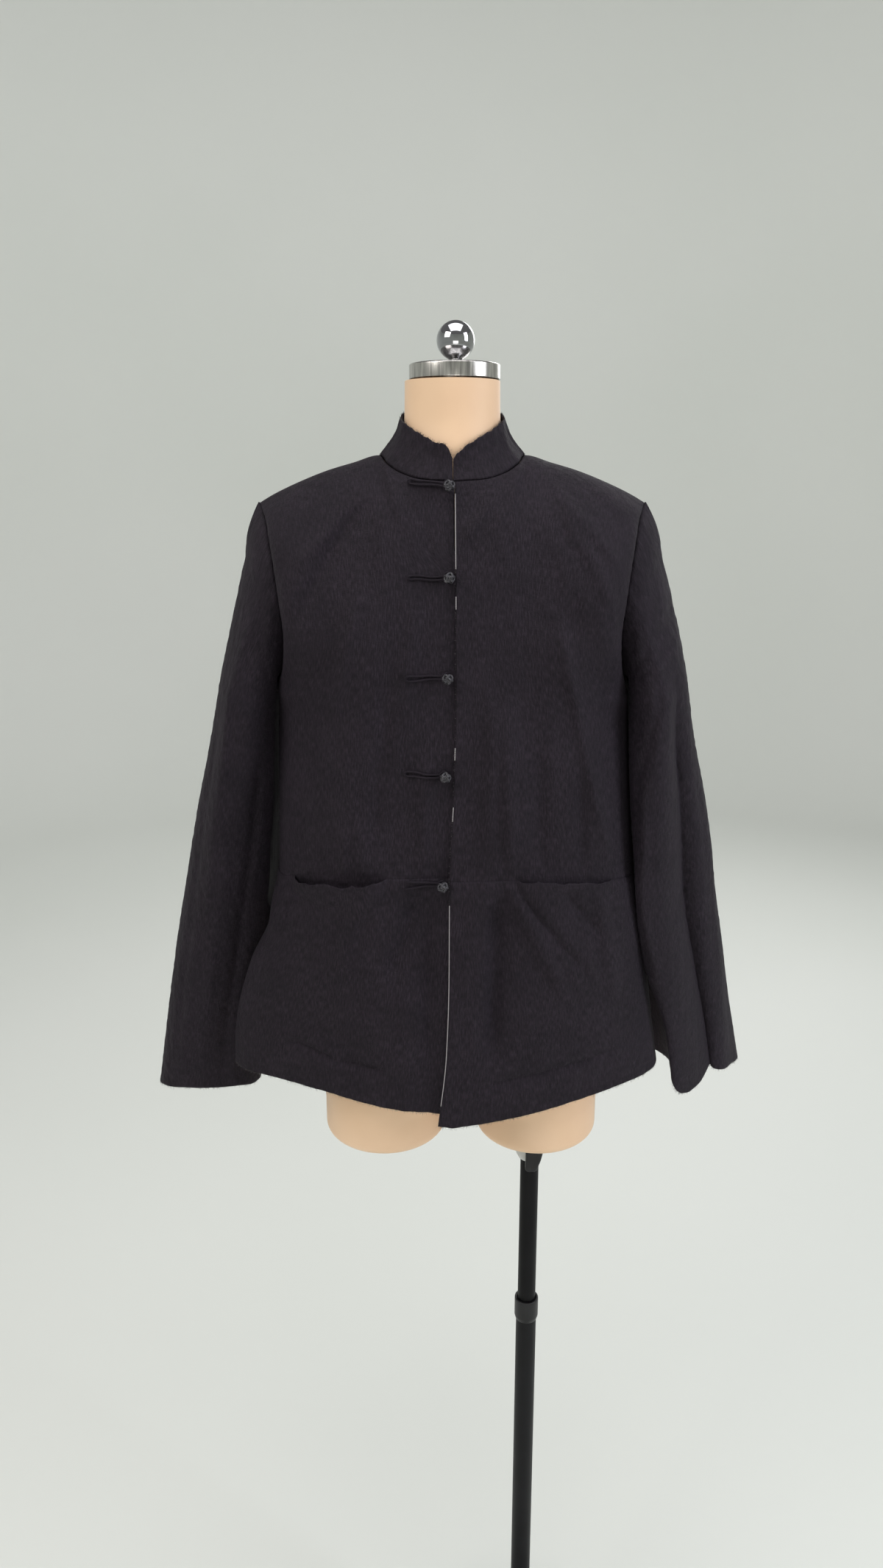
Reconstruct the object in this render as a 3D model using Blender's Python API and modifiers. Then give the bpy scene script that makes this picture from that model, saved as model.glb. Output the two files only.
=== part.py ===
"""Black tang jacket on a limbless dress form with a height-adjustable stand.

Metres, +Z up, the jacket's front towards -Y and its left sleeve towards +X.  The origin is the
centre of the base's underside, on the mast's axis.  The form and the jacket are modelled around
their own centre plane and stand beside the mast, which enters the left thigh.
"""

import math

import bmesh
import bpy
import numpy as np

# --- cloth ---------------------------------------------------------------------------------
CLOTH = 0.0016  # wall of the jacket's cloth
COLLAR_CLOTH = 0.0018  # wall of the doubled collar
SEAM_GAP = 0.0003  # gap between pieces that are sewn together
LAYER_GAP = 0.0005  # gap between layers that lie on each other
LAP_GAP = 0.0010  # gap where one front laps over the other, whose folds differ a little
SHOULDER_PULL = 0.0006  # extra gap at the shoulder seam's outer face, where the walls lean

# --- levels --------------------------------------------------------------------------------
NECK_LEVEL = 1.630  # height of the neck seam at the centre front; tables below count from it
HEM = -0.665
UNDERARM = -0.215
WAIST_SEAM = -0.391
SLIT_TOP = -0.420

# --- stand ---------------------------------------------------------------------------------
MAST_OFFSET = 0.095  # from the form's centre plane to the mast
BASE_RADIUS = 0.170
BASE_THICKNESS = 0.010
MAST_RADIUS = 0.011
MAST_FOOT = 0.200
TUBE_RADIUS = 0.0125
TUBE_BORE = 0.0114
TUBE_TOP = 0.640
FERRULE_RADIUS = 0.0146
FERRULE_BOTTOM = 0.617
FERRULE_TOP = 0.647
THIGH_END = -0.740
BUSH_RADIUS = 0.0164
BUSH_HEIGHT = 0.044
BUSH_ROOF = 0.006

# Level sections of the jacket's body: height, reach to its left and right, forward and backward
# reach, and the power of the oval (2 is an ellipse, more is boxier).
BODY_SECTIONS = np.array([
    # z,      left,  right, front, back,  power
    [-0.665, 0.243, 0.236, 0.130, 0.124, 1.85],
    [-0.560, 0.226, 0.214, 0.128, 0.121, 2.05],
    [-0.460, 0.211, 0.197, 0.125, 0.118, 2.40],
    [-0.390, 0.202, 0.190, 0.123, 0.116, 2.60],
    [-0.300, 0.193, 0.187, 0.119, 0.114, 2.50],
    [-0.215, 0.187, 0.184, 0.113, 0.112, 2.30],
])

# Top edge of the front: distance from the centre, height, and how far it lies forward.
FRONT_TOP = np.array([
    # x,     z,       forward
    [0.000, -0.0010, 0.0720],
    [0.030, 0.0010, 0.0670],
    [0.052, 0.0075, 0.0500],
    [0.066, 0.0165, 0.0300],
    [0.0745, 0.0250, 0.0000],
    [0.100, 0.0180, 0.0000],
    [0.126, 0.0105, 0.0000],
    [0.163, -0.0040, 0.0000],
    [0.185, -0.0145, 0.0000],
    [0.198, -0.0220, 0.0000],
])
BACK_TOP = np.array([
    # x,     z,       backward
    [0.000, 0.0450, 0.0600],
    [0.036, 0.0425, 0.0540],
    [0.060, 0.0350, 0.0340],
    [0.0745, 0.0250, 0.0000],
    [0.100, 0.0180, 0.0000],
    [0.126, 0.0105, 0.0000],
    [0.163, -0.0040, 0.0000],
    [0.185, -0.0145, 0.0000],
    [0.198, -0.0220, 0.0000],
])
NECK_HALF = 0.0745
SHOULDER_HALF = 0.198
SHOULDER_END = -0.022

# The armhole, from the underarm (rise 0) to the shoulder's end (rise 1).
ARMHOLE = np.array([
    # rise, x,     forward, backward
    [0.00, 0.1860, 0.000, 0.000],
    [0.06, 0.1810, 0.020, 0.022],
    [0.18, 0.1730, 0.043, 0.050],
    [0.33, 0.1700, 0.056, 0.066],
    [0.50, 0.1730, 0.060, 0.070],
    [0.66, 0.1775, 0.055, 0.064],
    [0.80, 0.1830, 0.043, 0.050],
    [0.92, 0.1890, 0.025, 0.030],
    [1.00, 0.1980, 0.000, 0.000],
])

# The lapped front edge: height and its distance from the centre plane.
LAP_EDGE = np.array([
    [-0.665, -0.0146],
    [-0.580, -0.0060],
    [-0.500, -0.0035],
    [-0.390, -0.0030],
    [-0.300, 0.0010],
    [-0.200, 0.0030],
    [0.000, 0.0020],
])
# How far the right front runs on under the left one; at the neck both end edge to edge.
UNDERLAP = np.array([[-0.665, 0.022], [-0.090, 0.022], [-0.062, -0.0008], [0.000, -0.0008]])

# How much higher than its middle the front hem hangs, and how much lower than its middle the
# cloth of the waist hangs, over the share of the way to the side.
HEM_RISE = np.array([
    # share, left, right, waist down
    [0.00, 0.000, 0.000, 0.000],
    [0.35, 0.011, 0.008, 0.001],
    [0.60, 0.020, 0.016, 0.006],
    [0.85, 0.026, 0.020, 0.017],
    [1.00, 0.027, 0.020, 0.027],
])
BACK_HEM_LIFT = 0.012
WAIST_DROOP_REACH = 0.100
UNDER_FRONT_LIFT = 0.013  # the right front hangs this much higher at the lap

# Below the slit's top the side edges hang free: their shift at each height.
SLIT_FLARES = {
    "front_left": np.array([
        # z,     outward, forward
        [-0.665, -0.006, 0.014],
        [-0.560, -0.004, 0.012],
        [-0.460, -0.002, 0.008],
        [-0.420, 0.000, 0.000],
    ]),
    "front_right": np.array([
        # z,     outward, forward
        [-0.665, 0.001, 0.034],
        [-0.560, 0.016, 0.040],
        [-0.510, 0.012, 0.040],
        [-0.460, 0.000, 0.036],
        [-0.440, 0.001, 0.022],
        [-0.420, 0.000, 0.000],
    ]),
    "back_left": np.array([
        # z,     outward, forward
        [-0.665, 0.010, -0.010],
        [-0.420, 0.000, 0.000],
    ]),
    "back_right": np.array([
        # z,     outward, forward
        [-0.665, -0.030, -0.024],
        [-0.460, -0.018, -0.024],
        [-0.420, 0.000, 0.000],
    ]),
}

# Drape folds of the fronts and back: start and end of each crest, the half width of the fold
# and its height, negative for a trough.
FRONT_FOLDS = np.array([
    # x0,     z0,     x1,     z1,     half,  height
    [0.100, 0.005, 0.166, -0.110, 0.011, 0.0045],
    [0.075, -0.015, 0.163, -0.165, 0.013, 0.0050],
    [0.112, -0.150, 0.158, -0.385, 0.016, 0.0085],
    [0.090, -0.110, 0.108, -0.360, 0.014, 0.0045],
    [0.046, -0.200, 0.068, -0.385, 0.013, 0.0045],
    [0.052, -0.400, 0.046, -0.600, 0.015, -0.0060],
    [0.078, -0.400, 0.150, -0.520, 0.014, 0.0045],
    [0.056, -0.020, 0.026, -0.090, 0.013, 0.0030],
    [-0.078, -0.110, -0.125, -0.370, 0.018, 0.0080],
    [-0.085, -0.020, -0.145, -0.150, 0.014, -0.0040],
    [-0.090, -0.330, -0.090, -0.390, 0.011, 0.0050],
    [-0.050, -0.250, -0.060, -0.385, 0.015, -0.0035],
    [-0.026, -0.400, -0.050, -0.520, 0.022, -0.0080],
    [-0.145, -0.400, -0.180, -0.500, 0.012, -0.0060],
    [-0.150, -0.560, -0.080, -0.600, 0.012, -0.0035],
])
BACK_FOLDS = np.array([
    # x0,     z0,     x1,     z1,     half,  height
    [0.110, -0.090, 0.165, -0.230, 0.015, 0.0055],
    [-0.105, -0.080, -0.160, -0.220, 0.015, 0.0060],
    [0.060, -0.180, 0.095, -0.480, 0.020, 0.0060],
    [-0.055, -0.200, -0.085, -0.520, 0.020, 0.0065],
    [0.012, -0.300, 0.004, -0.600, 0.022, -0.0060],
    [0.125, -0.360, 0.150, -0.600, 0.018, -0.0060],
    [-0.130, -0.380, -0.150, -0.610, 0.018, -0.0055],
])

# Sleeve rings under the underarm: mean height, how much higher the outer side is, centre
# outward and backward, half width and half depth, and the turn of the depth axis in degrees
# (its front end towards the body).
SLEEVE_LEFT = np.array([
    # z,     tilt,  out,    back,   width,  depth, turn
    [-0.225, 0.050, 0.2162, 0.0040, 0.0338, 0.080, 3.0],
    [-0.275, 0.030, 0.2275, 0.0050, 0.0350, 0.079, 8.0],
    [-0.351, 0.014, 0.2435, 0.0060, 0.0400, 0.075, 16.0],
    [-0.437, 0.004, 0.2545, 0.0090, 0.0460, 0.071, 22.0],
    [-0.526, 0.000, 0.2750, 0.0140, 0.0430, 0.067, 26.0],
    [-0.618, 0.000, 0.2985, 0.0210, 0.0350, 0.064, 32.0],
    [-0.680, 0.000, 0.3105, 0.0230, 0.0345, 0.064, 36.0],
])
SLEEVE_RIGHT = np.array([
    # z,     tilt,  out,    back,   width,  depth, turn
    [-0.225, 0.050, 0.2115, 0.0040, 0.0330, 0.080, 0.0],
    [-0.275, 0.030, 0.2180, 0.0060, 0.0395, 0.078, 0.0],
    [-0.351, 0.014, 0.2315, 0.0090, 0.0465, 0.072, 0.0],
    [-0.437, 0.004, 0.2465, 0.0130, 0.0515, 0.066, 0.0],
    [-0.526, 0.000, 0.2625, 0.0170, 0.0550, 0.060, 0.0],
    [-0.618, 0.000, 0.2780, 0.0210, 0.0575, 0.054, 0.0],
    [-0.680, 0.000, 0.2870, 0.0240, 0.0600, 0.050, 0.0],
])
# Folds along the sleeves: angle round the ring at the fold's start and end (0 outward, 90 front,
# 180 towards the body, 270 back), heights of start and end, half angle and height.
SLEEVE_LEFT_FOLDS = np.array([
    # a0,   z0,     a1,    z1,     half, height
    [58.0, -0.200, 50.0, -0.700, 14.0, -0.0190],
    [142.0, -0.230, 134.0, -0.720, 26.0, 0.0190],
    [98.0, -0.120, 95.0, -0.700, 18.0, 0.0060],
    [18.0, -0.350, 16.0, -0.700, 16.0, 0.0060],
    [35.0, -0.075, 105.0, -0.135, 14.0, -0.0060],
    [20.0, -0.125, 120.0, -0.190, 12.0, -0.0060],
    [300.0, -0.140, 285.0, -0.560, 18.0, -0.0060],
    [255.0, -0.330, 262.0, -0.700, 16.0, 0.0040],
])
SLEEVE_RIGHT_FOLDS = np.array([
    # a0,   z0,     a1,    z1,     half, height
    [62.0, -0.060, 72.0, -0.400, 12.0, 0.0040],
    [95.0, -0.070, 150.0, -0.190, 13.0, -0.0060],
    [120.0, -0.260, 112.0, -0.640, 20.0, -0.0040],
    [300.0, -0.120, 280.0, -0.520, 18.0, -0.0060],
    [245.0, -0.300, 250.0, -0.690, 16.0, 0.0040],
])
POCKET_CLEARANCE = 0.0030  # added beside the pockets
SLEEVE_CLEARANCE = 0.0065  # least distance of a sleeve from the body's plain section

# The stand collar's top edge on each wing: angle from the centre front, outward reach, height.
COLLAR_TOPS = {
    1: np.array([
        # angle, reach, height
        [0.0, 0.0600, 0.0190],
        [8.0, 0.0597, 0.0285],
        [20.0, 0.0580, 0.0365],
        [45.0, 0.0555, 0.0480],
        [70.0, 0.0540, 0.0570],
        [90.0, 0.0530, 0.0610],
        [135.0, 0.0535, 0.0740],
        [180.0, 0.0545, 0.0800],
    ]),
    -1: np.array([
        # angle, reach, height
        [0.0, 0.0600, 0.0190],
        [3.0, 0.0603, 0.0270],
        [10.0, 0.0605, 0.0348],
        [20.0, 0.0575, 0.0370],
        [45.0, 0.0555, 0.0480],
        [70.0, 0.0540, 0.0570],
        [90.0, 0.0530, 0.0610],
        [135.0, 0.0535, 0.0740],
        [180.0, 0.0545, 0.0800],
    ]),
}

# Knot buttons: height of each, its place beside the lapped edge, and the tail's slant.
KNOTS = np.array([
    # z,      x,      slant
    [-0.0045, -0.0035, 0.09],
    [-0.0898, -0.0035, -0.04],
    [-0.1853, -0.0050, 0.02],
    [-0.2820, -0.0070, 0.06],
    [-0.3945, -0.0095, -0.05],
])
KNOT_RADIUS = 0.0063
KNOT_LIFT = 0.0082  # centre of a knot above the right front
CORD_RADIUS = 0.0012
TAIL_LENGTH = 0.032
TAIL_GAP = 0.0008  # clears the facets of the cloth beneath
TAIL_HALF_GAP = 0.0017
TAIL_NECK_LIFT = 0.0012  # extra for the top tail, where the cloth curves towards the neck

# The dress form below the chest: height, reach each way, forward and backward reach.
FORM_SECTIONS = np.array([
    # z,     side,   front, back
    [-0.215, 0.158, 0.100, 0.098],
    [-0.300, 0.150, 0.098, 0.090],
    [-0.390, 0.147, 0.098, 0.090],
    [-0.480, 0.156, 0.100, 0.098],
    [-0.560, 0.165, 0.100, 0.104],
    [-0.630, 0.168, 0.094, 0.100],
])
FORM_CLEARANCE = 0.0021  # from the jacket's outer face to the form at the shoulder seams
THIGHS = {"left": (0.0998, 0.0705), "right": (-0.0764, 0.0705)}
THIGH_DEPTH = 0.072
CAP_RADIUS = 0.0455
CAP_BOTTOM = 0.0963
CAP_THICKNESS = 0.0160
BALL_RADIUS = 0.019
BALL_HEIGHT = 0.1345
STEM_RADIUS = 0.0070  # of the ball's short foot on the cap

COLOURS = {
    "black_cotton": ((0.012, 0.012, 0.014), 0.85, 0.0),
    "knot_cord": ((0.16, 0.16, 0.17), 0.70, 0.0),
    "cream_cover": ((0.72, 0.53, 0.38), 0.75, 0.0),
    "chrome": ((0.80, 0.80, 0.80), 0.15, 1.0),
    "black_steel": ((0.010, 0.010, 0.012), 0.40, 0.6),
    "black_plastic": ((0.012, 0.012, 0.014), 0.50, 0.0),
    "grey_plastic": ((0.55, 0.56, 0.55), 0.45, 0.0),
}


# --- scene helpers -------------------------------------------------------------------------
def clear_scene():
    for obj in list(bpy.data.objects):
        bpy.data.objects.remove(obj, do_unlink=True)


def make_collection(name):
    collection = bpy.data.collections.new(name)
    bpy.context.scene.collection.children.link(collection)
    return collection


def material(name):
    """The shared material of this name, made on first use."""
    found = bpy.data.materials.get(name)
    if found:
        return found
    colour, roughness, metallic = COLOURS[name]
    made = bpy.data.materials.new(name)
    made.use_nodes = True
    shader = made.node_tree.nodes["Principled BSDF"]
    shader.inputs["Base Color"].default_value = (*colour, 1.0)
    shader.inputs["Roughness"].default_value = roughness
    shader.inputs["Metallic"].default_value = metallic
    return made


def place(obj, collection, finish, parent, offset=(0.0, 0.0, 0.0)):
    """Links the object, gives it its material and hangs it on its parent empty."""
    if obj.name not in collection.objects:
        collection.objects.link(obj)
    obj.data.materials.clear()
    obj.data.materials.append(material(finish))
    obj.parent = parent
    obj.location = offset
    return obj


def mesh_from_bmesh(name, bm):
    mesh = bpy.data.meshes.new(name)
    bm.to_mesh(mesh)
    bm.free()
    return mesh


def grid_faces(rows, columns, closed=False):
    """Quads of a grid whose points run along the columns first, wound for an outward face."""
    faces = []
    last = columns if closed else columns - 1
    for i in range(rows - 1):
        for j in range(last):
            k = (j + 1) % columns
            faces.append((i * columns + j, i * columns + k, (i + 1) * columns + k, (i + 1) * columns + j))
    return faces


def sheet_object(name, points, closed=False, flip=False, wall=CLOTH):
    """An open grid of points with a Solidify wall that grows inwards from the outer face."""
    rows, columns = points.shape[:2]
    mesh = bpy.data.meshes.new(name)
    faces = grid_faces(rows, columns, closed)
    if flip:
        faces = [face[::-1] for face in faces]
    mesh.from_pydata(points.reshape(-1, 3).tolist(), [], faces)
    mesh.update()
    mesh.shade_smooth()
    obj = bpy.data.objects.new(name, mesh)
    modifier = obj.modifiers.new("wall", "SOLIDIFY")
    modifier.thickness = wall
    modifier.offset = -1.0
    modifier.use_even_offset = False
    return obj


# --- shape functions -----------------------------------------------------------------------
def table(rows, at, column):
    """Reads a named table's column at the given values of its first column."""
    order = np.argsort(rows[:, 0])
    return np.interp(at, rows[order, 0], rows[order, column])


def smooth(value, low, high):
    """0 below low, 1 above high, with a soft step between."""
    share = np.clip((value - low) / (high - low), 0.0, 1.0)
    return share * share * (3.0 - 2.0 * share)


def relief(folds, x, z):
    """Sum of the folds' heights at (x, z): a bell across each crest, faded at both its ends."""
    total = np.zeros(np.broadcast(x, z).shape)
    for x0, z0, x1, z1, half, height in folds:
        run = np.array([x1 - x0, z1 - z0])
        length = np.hypot(*run)
        along = ((x - x0) * run[0] + (z - z0) * run[1]) / length**2
        across = ((x - x0) * run[1] - (z - z0) * run[0]) / length
        fade = smooth(along, -0.12, 0.22) * (1.0 - smooth(along, 0.72, 1.12))
        total += height * fade * np.exp(-0.5 * (across / half) ** 2)
    return total


def body_row(share, level, facing, side, hem_lift=0.0):
    """One row of the jacket's body, at the given shares of the way from centre to side.

    A share below 0 lies past the centre.  A level is (kind, value): below the underarm the value
    runs from 0 at the hem to 1, and above it from 0 to 1 at the neckline and shoulder seam.
    Below, the row is a quarter of a boxy oval.  Above, each column bends over to the top edge
    along an arc, and the side end follows the armhole.  facing is -1 for the front and +1 for
    the back, side is +1 for the jacket's left.
    """
    kind, value = level
    top = FRONT_TOP if facing < 0 else BACK_TOP
    folds = FRONT_FOLDS if facing < 0 else BACK_FOLDS
    away = np.abs(share)
    reach_column = 3 if facing < 0 else 4
    depth_column = 2 if facing < 0 else 3
    pull = SEAM_GAP / 2
    if kind == "below":
        nominal = HEM + (UNDERARM - HEM) * value
        z = nominal + hem_lift * (1.0 - value) ** 2 + 0.0 * away
        if facing < 0:
            waist = math.exp(-(((nominal - WAIST_SEAM) / WAIST_DROOP_REACH) ** 2)) * value**0.3
            rise = table(HEM_RISE, away, 1 if side > 0 else 2)
            z += rise * (1.0 - value) ** 2 - table(HEM_RISE, away, 3) * waist
        half = table(BODY_SECTIONS, nominal, 1 if side > 0 else 2)
        reach = table(BODY_SECTIONS, nominal, reach_column)
        power = table(BODY_SECTIONS, nominal, 5)
        depth = reach * np.maximum(1.0 - away**power, 0.0) ** (1.0 / power)
        settle = 1.0
    else:
        half = table(ARMHOLE, value, 1)
        top_x = away * SHOULDER_HALF
        z = UNDERARM + (table(top, top_x, 1) - UNDERARM) * value
        reach = BODY_SECTIONS[-1, reach_column]
        power = BODY_SECTIONS[-1, 5]
        full = reach * np.maximum(1.0 - away**power, 0.0) ** (1.0 / power)
        bend = 1.0 / (1.0 + smooth(away, 0.1, 0.4))
        keep = np.maximum(1.0 - value**2.4, 0.0) ** bend
        edge = table(ARMHOLE, value, depth_column) * away**3
        depth = table(top, top_x, 2) * (1.0 - keep) + full * keep + edge
        settle = 1.0 - smooth(value, 0.80, 0.98)
        pull += SHOULDER_PULL * smooth(value, 0.9, 1.0)
    x = share * half * side
    inside = 1.0 - smooth(away, 0.86, 1.0)
    depth = depth + relief(folds, x, z) * settle * inside
    return np.stack([x, facing * (depth + pull), z], axis=-1)


def row_half(level, side):
    """Distance from the centre to the side end of a row, and its nominal height."""
    kind, value = level
    if kind == "below":
        nominal = HEM + (UNDERARM - HEM) * value
        return float(table(BODY_SECTIONS, nominal, 1 if side > 0 else 2)), nominal
    return float(table(ARMHOLE, value, 1)), UNDERARM * (1.0 - value)


def free_edge(points, share, flare):
    """Moves a panel's side edge where it hangs free below the slit's top."""
    z = points[..., 2]
    weight = np.abs(share)[None, :] ** 6
    moved = points.copy()
    moved[..., 0] += np.sign(points[..., 0]) * table(flare, z, 1) * weight
    moved[..., 1] -= table(flare, z, 2) * weight
    return moved


def outward_normals(points, flip=False):
    """Unit normals of a grid, from the differences along its rows and columns."""
    along = np.gradient(points, axis=1)
    up = np.gradient(points, axis=0)
    normals = np.cross(along, up)
    normals /= np.maximum(np.linalg.norm(normals, axis=-1, keepdims=True), 1e-12)
    return -normals if flip else normals


def upper_levels(count):
    """Levels above the underarm, closer together towards the shoulder."""
    return [("above", math.sin(math.pi / 2 * i / count)) for i in range(1, count + 1)]


def lower_levels(count, low=0.0, high=1.0):
    return [("below", low + (high - low) * i / count) for i in range(count + 1)]


def pocket_levels():
    """Levels from the hem to the waist seam, shared by the fronts and the panels on them."""
    return lower_levels(POCKET_ROWS, 0.0, (WAIST_SEAM - HEM) / (UNDERARM - HEM))


def front_levels():
    top = (WAIST_SEAM - HEM) / (UNDERARM - HEM)
    return pocket_levels() + lower_levels(WAIST_ROWS, top, 1.0)[1:] + upper_levels(UPPER_ROWS)


def panel_shares(edge, columns_neck, columns_side):
    """Column positions from the centre edge to the side, one of them exactly at the neck point."""
    neck = NECK_HALF / SHOULDER_HALF
    start = math.asin(max(-1.0, min(1.0, edge)))
    middle = math.asin(neck)
    first = np.linspace(start, middle, columns_neck + 1)
    second = np.linspace(middle, math.pi / 2, columns_side + 1)[1:]
    return np.sin(np.concatenate([first, second]))


POCKET_ROWS = 11
WAIST_ROWS = 6
UPPER_ROWS = 8
NECK_COLUMNS = 7
SIDE_COLUMNS = 11


def layered(points, side):
    """Pushes the right front in where the left front laps over it."""
    if side > 0:
        return points
    under = smooth(points[..., 0], -0.055, -0.022)
    low = 1.0 - smooth(points[..., 2], WAIST_SEAM - 0.002, WAIST_SEAM + 0.030)
    neck = 1.0 - smooth(points[..., 2], -0.028, -0.006)
    points[..., 1] += under * neck * (CLOTH + LAP_GAP + (CLOTH + LAYER_GAP) * low)
    return points


def front_points(side, levels):
    """The outer face of a front, from its lapped or lapping edge to the side."""
    shares = panel_shares(0.0, NECK_COLUMNS, SIDE_COLUMNS)
    slide = np.maximum(1.0 - shares / shares[NECK_COLUMNS], 0.0)
    rows = []
    for level in levels:
        half, nominal = row_half(level, side)
        edge = float(table(LAP_EDGE, nominal, 1))
        if side < 0:
            edge += float(table(UNDERLAP, nominal, 1))
        lift = UNDER_FRONT_LIFT if side < 0 else 0.0
        rows.append(body_row(shares + slide * edge * side / half, level, -1, side, lift))
    name = "front_left" if side > 0 else "front_right"
    points = free_edge(np.array(rows), shares, SLIT_FLARES[name])
    return layered(points, side)


def fronts(collection, parent, offset):
    levels = front_levels()
    for side, name in ((1, "front_left"), (-1, "front_right")):
        obj = sheet_object(name, front_points(side, levels), flip=side < 0)
        place(obj, collection, "black_cotton", parent, offset)


MOUTHS = {1: (0.066, 0.165, 0.0050), -1: (-0.164, -0.067, 0.0085)}  # from, to, sag


def pockets(collection, parent, offset):
    """Lower patch panels: each front's own points from waist seam to hem, moved out."""
    levels = pocket_levels()
    for side, name in ((1, "pocket_left"), (-1, "pocket_right")):
        points = front_points(side, levels)
        normals = outward_normals(points, flip=side < 0)
        low, high, sag = MOUTHS[side]
        x = points[..., 0]
        middle = (low + high) / 2
        bell = np.clip(1.0 - ((x - middle) / (abs(high - low) / 2)) ** 2, 0.0, 1.0)
        near_top = smooth(points[..., 2], WAIST_SEAM - 0.075, WAIST_SEAM)
        gape = bell * near_top**2
        points = points + normals * (CLOTH + LAYER_GAP + 0.8 * sag * gape)[..., None]
        points[..., 2] -= sag * bell * near_top
        obj = sheet_object(name, points, flip=side < 0)
        place(obj, collection, "black_cotton", parent, offset)


def back(collection, parent, offset):
    """The back is one piece: its right half, mirrored columns and its left half in one grid."""
    levels = lower_levels(15) + upper_levels(UPPER_ROWS)
    shares = panel_shares(0.0, 5, 7)
    halves = []
    for side, name in ((1, "back_left"), (-1, "back_right")):
        rows = np.array([body_row(shares, level, 1, side, BACK_HEM_LIFT) for level in levels])
        halves.append(free_edge(rows, shares, SLIT_FLARES[name]))
    left, right = halves
    points = np.concatenate([left[:, ::-1], right[:, 1:]], axis=1)
    obj = sheet_object("back", points)
    place(obj, collection, "black_cotton", parent, offset)


def armhole_loop(side, angles):
    """Points of the armhole round the ring's angles: 0 at the shoulder's end, 90 in front."""
    turn = np.asarray(angles) % 360.0
    front = turn <= 180.0
    rise = 0.5 * (1.0 + np.cos(np.radians(turn)))
    x = table(ARMHOLE, rise, 1)
    forward = table(ARMHOLE, rise, 2)
    backward = table(ARMHOLE, rise, 3)
    y = np.where(front, -forward, backward)
    z = UNDERARM + (SHOULDER_END - UNDERARM) * rise
    return np.stack([x, y, z], axis=-1)


def sleeve_ring(row, angles):
    """One tilted oval ring, at the jacket's left."""
    z, tilt, out, back_shift, width, depth, turn = row
    a = np.radians(angles)
    swing = math.radians(turn)
    u = width * np.cos(a)
    v = depth * np.sin(a)
    x = out + u * math.cos(swing) - v * math.sin(swing)
    y = back_shift + u * math.sin(swing) - v * math.cos(swing)
    height = z + tilt * 0.5 * np.cos(a)
    return np.stack([x, y, height + 0.0 * x], axis=-1)


def body_side(y, z, side):
    """How far the body's plain section reaches sideways at this depth and height."""
    half = table(BODY_SECTIONS, z, 1 if side > 0 else 2)
    reach = np.where(y < 0, table(BODY_SECTIONS, z, 3), table(BODY_SECTIONS, z, 4))
    power = table(BODY_SECTIONS, z, 5)
    inside = np.maximum(1.0 - np.abs(y / reach) ** power, 0.0)
    return half * inside ** (1.0 / power)


SLEEVE_POINTS = 24
CAP_RINGS = 6
SLEEVE_RINGS = 15
CAP_BULGES = {1: 0.015, -1: 0.006}
SEAM_STEP = 0.0011  # the sleeve starts this far outside the armhole's edge


def sleeve_points(side):
    """Rings from the armhole over the sleeve's cap and down to the cuff, at the jacket's left."""
    rows = SLEEVE_LEFT if side > 0 else SLEEVE_RIGHT
    folds = SLEEVE_LEFT_FOLDS if side > 0 else SLEEVE_RIGHT_FOLDS
    angles = np.arange(SLEEVE_POINTS) * 360.0 / SLEEVE_POINTS
    start = armhole_loop(side, angles)
    low = np.maximum(-np.cos(np.radians(angles)), 0.0)
    start[:, 0] += SEAM_STEP + 0.0016 * np.minimum(2.0 * low, 1.0)
    first = sleeve_ring(rows[0], angles)
    outer = np.maximum(np.cos(np.radians(angles)), 0.0)
    rings = []
    for i in range(CAP_RINGS):
        share = i / CAP_RINGS
        ring = start * (1.0 - share) + first * share
        ring[:, 0] += CAP_BULGES[side] * share * (1.0 - share) * (0.35 + 0.65 * outer)
        rings.append(ring)
    order = np.argsort(rows[:, 0])
    for i in range(SLEEVE_RINGS + 1):
        z = rows[0, 0] + (rows[-1, 0] - rows[0, 0]) * i / SLEEVE_RINGS
        row = [np.interp(z, rows[order, 0], rows[order, c]) for c in range(rows.shape[1])]
        rings.append(sleeve_ring(row, angles))
    points = np.array(rings)
    centre = points.mean(axis=1, keepdims=True)
    away = points - centre
    away[..., 2] = 0.0
    away /= np.maximum(np.linalg.norm(away, axis=-1, keepdims=True), 1e-9)
    turn = np.broadcast_to(angles, points.shape[:2])
    height = points[..., 2]
    amount = np.zeros(points.shape[:2])
    for a0, z0, a1, z1, half, rise in folds:
        along = (height - z0) / (z1 - z0)
        middle = a0 + (a1 - a0) * np.clip(along, 0.0, 1.0)
        off = (turn - middle + 180.0) % 360.0 - 180.0
        fade = smooth(along, -0.10, 0.20) * (1.0 - smooth(along, 0.95, 1.25))
        amount += rise * fade * np.exp(-0.5 * (off / half) ** 2)
    ring_share = np.arange(points.shape[0])[:, None] / CAP_RINGS
    amount *= smooth(ring_share, 0.1, 0.7)
    points = points + away * amount[..., None]
    least = body_side(points[..., 1], np.maximum(points[..., 2], HEM), side) + SLEEVE_CLEARANCE
    least += POCKET_CLEARANCE * (1.0 - smooth(points[..., 2], WAIST_SEAM, WAIST_SEAM + 0.05))
    hugging = points[..., 2] < UNDERARM + 0.02
    open_slit = 1.0 - smooth(points[..., 2], SLIT_TOP - 0.08, SLIT_TOP - 0.03)
    pushed = np.maximum(points[..., 0], least - 0.030 * open_slit * (side < 0))
    points[..., 0] = np.where(hugging, pushed, points[..., 0])
    return points


def sleeves(collection, parent, offset):
    for side, name in ((1, "sleeve_left"), (-1, "sleeve_right")):
        points = sleeve_points(side)
        points[..., 0] *= side
        obj = sheet_object(name, points, closed=True, flip=side > 0)
        place(obj, collection, "black_cotton", parent, offset)


COLLAR_COLUMNS = 17
COLLAR_ROWS = 3


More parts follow.
